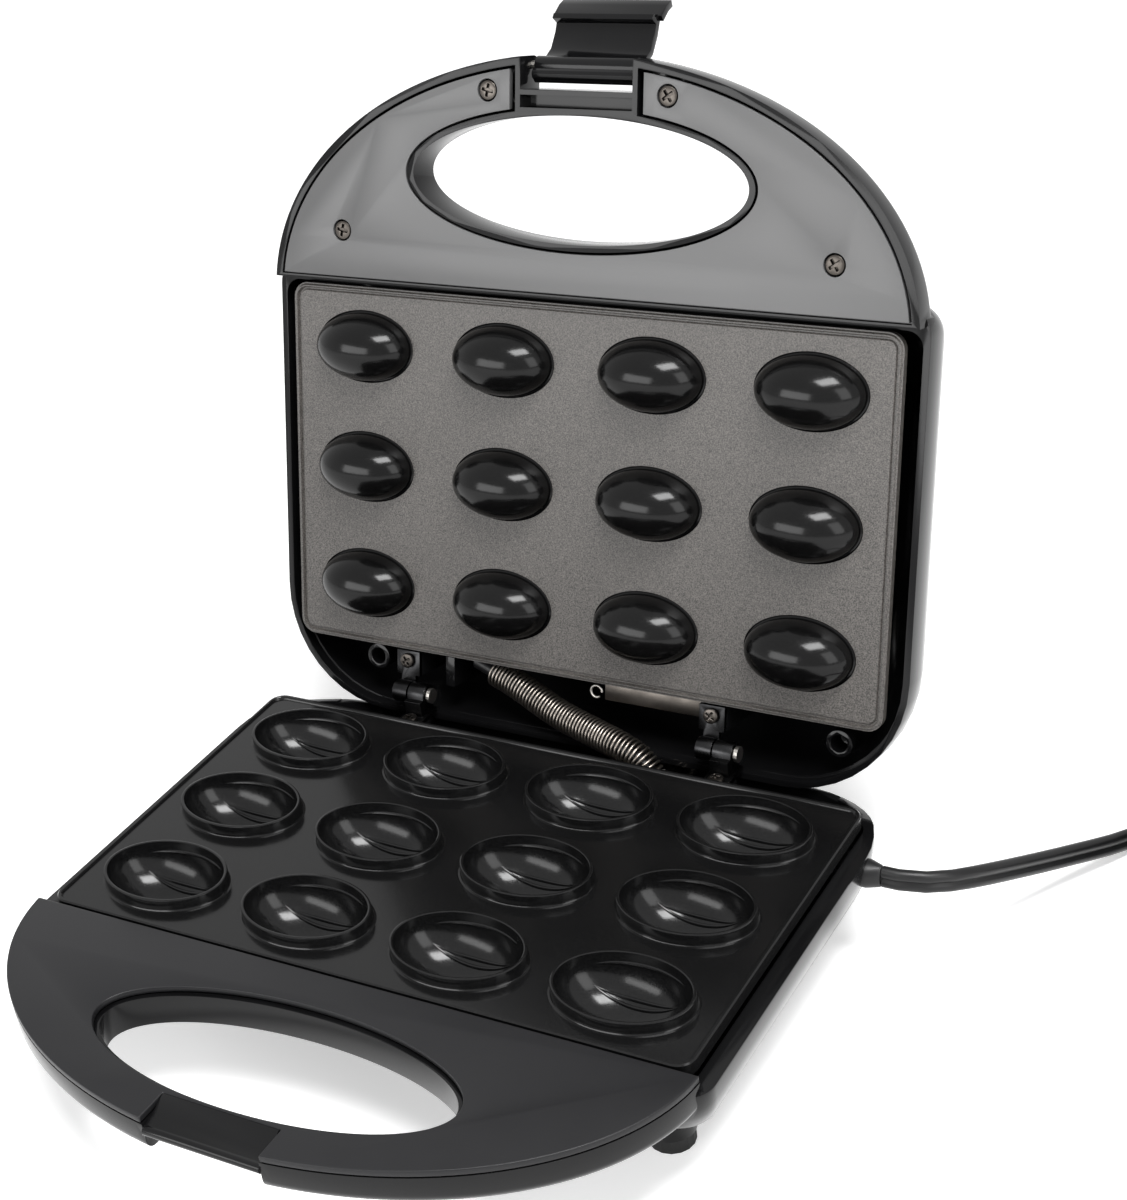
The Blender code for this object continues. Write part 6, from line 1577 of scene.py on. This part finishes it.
BUSHING_INNER_X = 0.1032
BUSHING_WALL_X = 0.1090
BUSHING_TIP_X = 0.1130
CORD_EXIT_Y = 0.0455
CORD_EXIT_LEVEL = -0.0140
BUSHING_RADIUS = 0.0042
BUSHING_SIDES = 48

# The bushing outside the wall: shares of its radius both ways, and of its length
BUSHING_TAPER = [(0.98, 0.94, 0.15), (0.92, 0.78, 0.5), (0.86, 0.62, 0.85), (0.80, 0.50, 1)]


def bushing():
    """Make the bushing, which narrows from the wall's hole to the flat cord."""
    out = BUSHING_TIP_X - BUSHING_WALL_X
    rings = [
        (BUSHING_RADIUS, BUSHING_RADIUS, BUSHING_INNER_X - BUSHING_WALL_X),
        (BUSHING_RADIUS, BUSHING_RADIUS, 0),
    ]
    rings += [(BUSHING_RADIUS * a, BUSHING_RADIUS * b, out * share) for a, b, share in BUSHING_TAPER]
    bm = rings_solid(rings, BUSHING_SIDES)
    facing = Matrix.Rotation(math.radians(90), 4, "Y")
    place = Matrix.Translation((BUSHING_WALL_X, CORD_EXIT_Y, CORD_EXIT_LEVEL)) @ facing
    piece = finished("cord_bushing_dressed", bm, "cord_black", "base", place)
    settle(piece, BASE_PLACE, "cord_bushing")


# Latch heel and finger ridges

LATCH_AXLE_Y = -0.1250
LATCH_AXLE_Z = 0.0055
LATCH_HALF_WIDTH = 0.0163
HEEL_BACK = 0.0032
HEEL_DROP = 0.0014
HEEL_RADIUS = 0.0018
FINGER_RIDGE_HALF_WIDTH = 0.0090
FINGER_RIDGE_RADIUS = 0.00045
FINGER_RIDGES = ((0.0141, 0.0140), (0.0149, 0.0150), (0.0156, 0.0161))


FINGER_RIDGE_SIDES = 12
RIDGE_EDGE = 0.0001


def latch_details():
    """Make the latch's heel behind its barrel and the finger ridges on its tab."""
    y, z = LATCH_AXLE_Y + HEEL_BACK, LATCH_AXLE_Z - HEEL_DROP
    heel = round_bar((-LATCH_HALF_WIDTH, y, z), (LATCH_HALF_WIDTH, y, z), HEEL_RADIUS)
    for forward, rise in FINGER_RIDGES:
        y, z = LATCH_AXLE_Y - forward, LATCH_AXLE_Z + rise
        join_into(heel, round_bar(
            (-FINGER_RIDGE_HALF_WIDTH, y, z), (FINGER_RIDGE_HALF_WIDTH, y, z),
            FINGER_RIDGE_RADIUS, FINGER_RIDGE_SIDES,
        ))
    added_piece("latch_heel_and_ridges", heel, "gloss_black", "latch", LID_PLACE, RIDGE_EDGE)


# Stage and light

def studio():
    """Lay the pale floor, and set the white surroundings and the soft lamps."""
    pale_floor()
    white_surroundings()
    soft_lamps()


def pale_floor():
    """Lay a floor of pale paper that glows where it is seen far from the part."""
    bm = bmesh.new()
    bmesh.ops.create_grid(bm, x_segments=1, y_segments=1, size=FLOOR_HALF_SIZE)
    mesh = bpy.data.meshes.new("studio_floor")
    bm.to_mesh(mesh)
    bm.free()
    material, tree, shader = shader_nodes("studio_floor_paper")
    shader.inputs["Base Color"].default_value = FLOOR_COLOUR
    shader.inputs["Roughness"].default_value = FLOOR_ROUGHNESS
    path = tree.nodes.new("ShaderNodeLightPath")
    seen = seen_ray(tree, path)
    place = tree.nodes.new("ShaderNodeTexCoord")
    length = tree.nodes.new("ShaderNodeVectorMath")
    length.operation = "LENGTH"
    tree.links.new(place.outputs["Object"], length.inputs[0])
    glow = spread(tree, length.outputs["Value"], *FLOOR_GLOW_REACH, *FLOOR_GLOW)
    shown = tree.nodes.new("ShaderNodeMath")
    shown.operation = "MULTIPLY"
    tree.links.new(seen, shown.inputs[0])
    tree.links.new(glow.outputs["Result"], shown.inputs[1])
    shader.inputs["Emission Color"].default_value = (1, 1, 1, 1)
    tree.links.new(shown.outputs[0], shader.inputs["Emission Strength"])
    mesh.materials.append(material)
    floor = bpy.data.objects.new("studio_floor", mesh)
    bpy.context.scene.collection.objects.link(floor)


def white_surroundings():
    """Set white surroundings that are seen and mirrored bright but light softly."""
    world = bpy.data.worlds.new("studio_surroundings")
    world.use_nodes = True
    bpy.context.scene.world = world
    tree = world.node_tree
    background = tree.nodes["Background"]
    background.inputs["Color"].default_value = (1, 1, 1, 1)
    path = tree.nodes.new("ShaderNodeLightPath")
    strength = spread(tree, seen_ray(tree, path), 0, 1, AMBIENT_STRENGTH, 1.0)
    tree.links.new(strength.outputs["Result"], background.inputs["Strength"])


def soft_lamps():
    """Hang the soft lamps and turn each to the place it lights."""
    for name, place, aim, size, watts in LAMPS:
        data = bpy.data.lights.new(name, "AREA")
        data.shape = "RECTANGLE"
        data.size, data.size_y = size
        data.energy = watts
        lamp = bpy.data.objects.new(name, data)
        lamp.location = place
        lamp.rotation_euler = (Vector(aim) - Vector(place)).to_track_quat("-Z", "Y").to_euler()
        bpy.context.scene.collection.objects.link(lamp)


def seen_ray(tree, path):
    """Return the largest of the camera, glossy and transmission ray marks."""
    first = tree.nodes.new("ShaderNodeMath")
    first.operation = "MAXIMUM"
    tree.links.new(path.outputs["Is Camera Ray"], first.inputs[0])
    tree.links.new(path.outputs["Is Glossy Ray"], first.inputs[1])
    second = tree.nodes.new("ShaderNodeMath")
    second.operation = "MAXIMUM"
    tree.links.new(first.outputs[0], second.inputs[0])
    tree.links.new(path.outputs["Is Transmission Ray"], second.inputs[1])
    return second.outputs[0]


FLOOR_HALF_SIZE = 3.0
FLOOR_COLOUR = (0.86, 0.86, 0.86, 1)
FLOOR_ROUGHNESS = 0.9
FLOOR_GLOW = (0.45, 0.85)
FLOOR_GLOW_REACH = (0.5, 1.6)
AMBIENT_STRENGTH = 0.24
# Lamps: name, place, what it lights, width and height, watts
LAMPS = [
    ("front_softbox", (-0.50, -1.20, 0.46), (0.0, 0.1, 0.14), (1.1, 0.55), 11.0),
    ("long_softbox", (0.42, -0.28, 1.25), (0, 0, 0.03), (0.75, 0.40), 24.0),
    ("side_softbox", (1.1, -0.45, 0.6), (0, 0, 0.06), (0.6, 0.9), 6.0),
]

FINISHES = make_finishes()

bpy.context.scene.view_settings.view_transform = "Standard"
photo_camera()
studio()
power_lead()
lower_plate()
upper_plate()
base_casing()
base_cover()
lid_casing()
lid_cover()
all_screws()
latch()
latch_details()
lid_inside()
bushing()
conduit()
finish_shown_nodes()
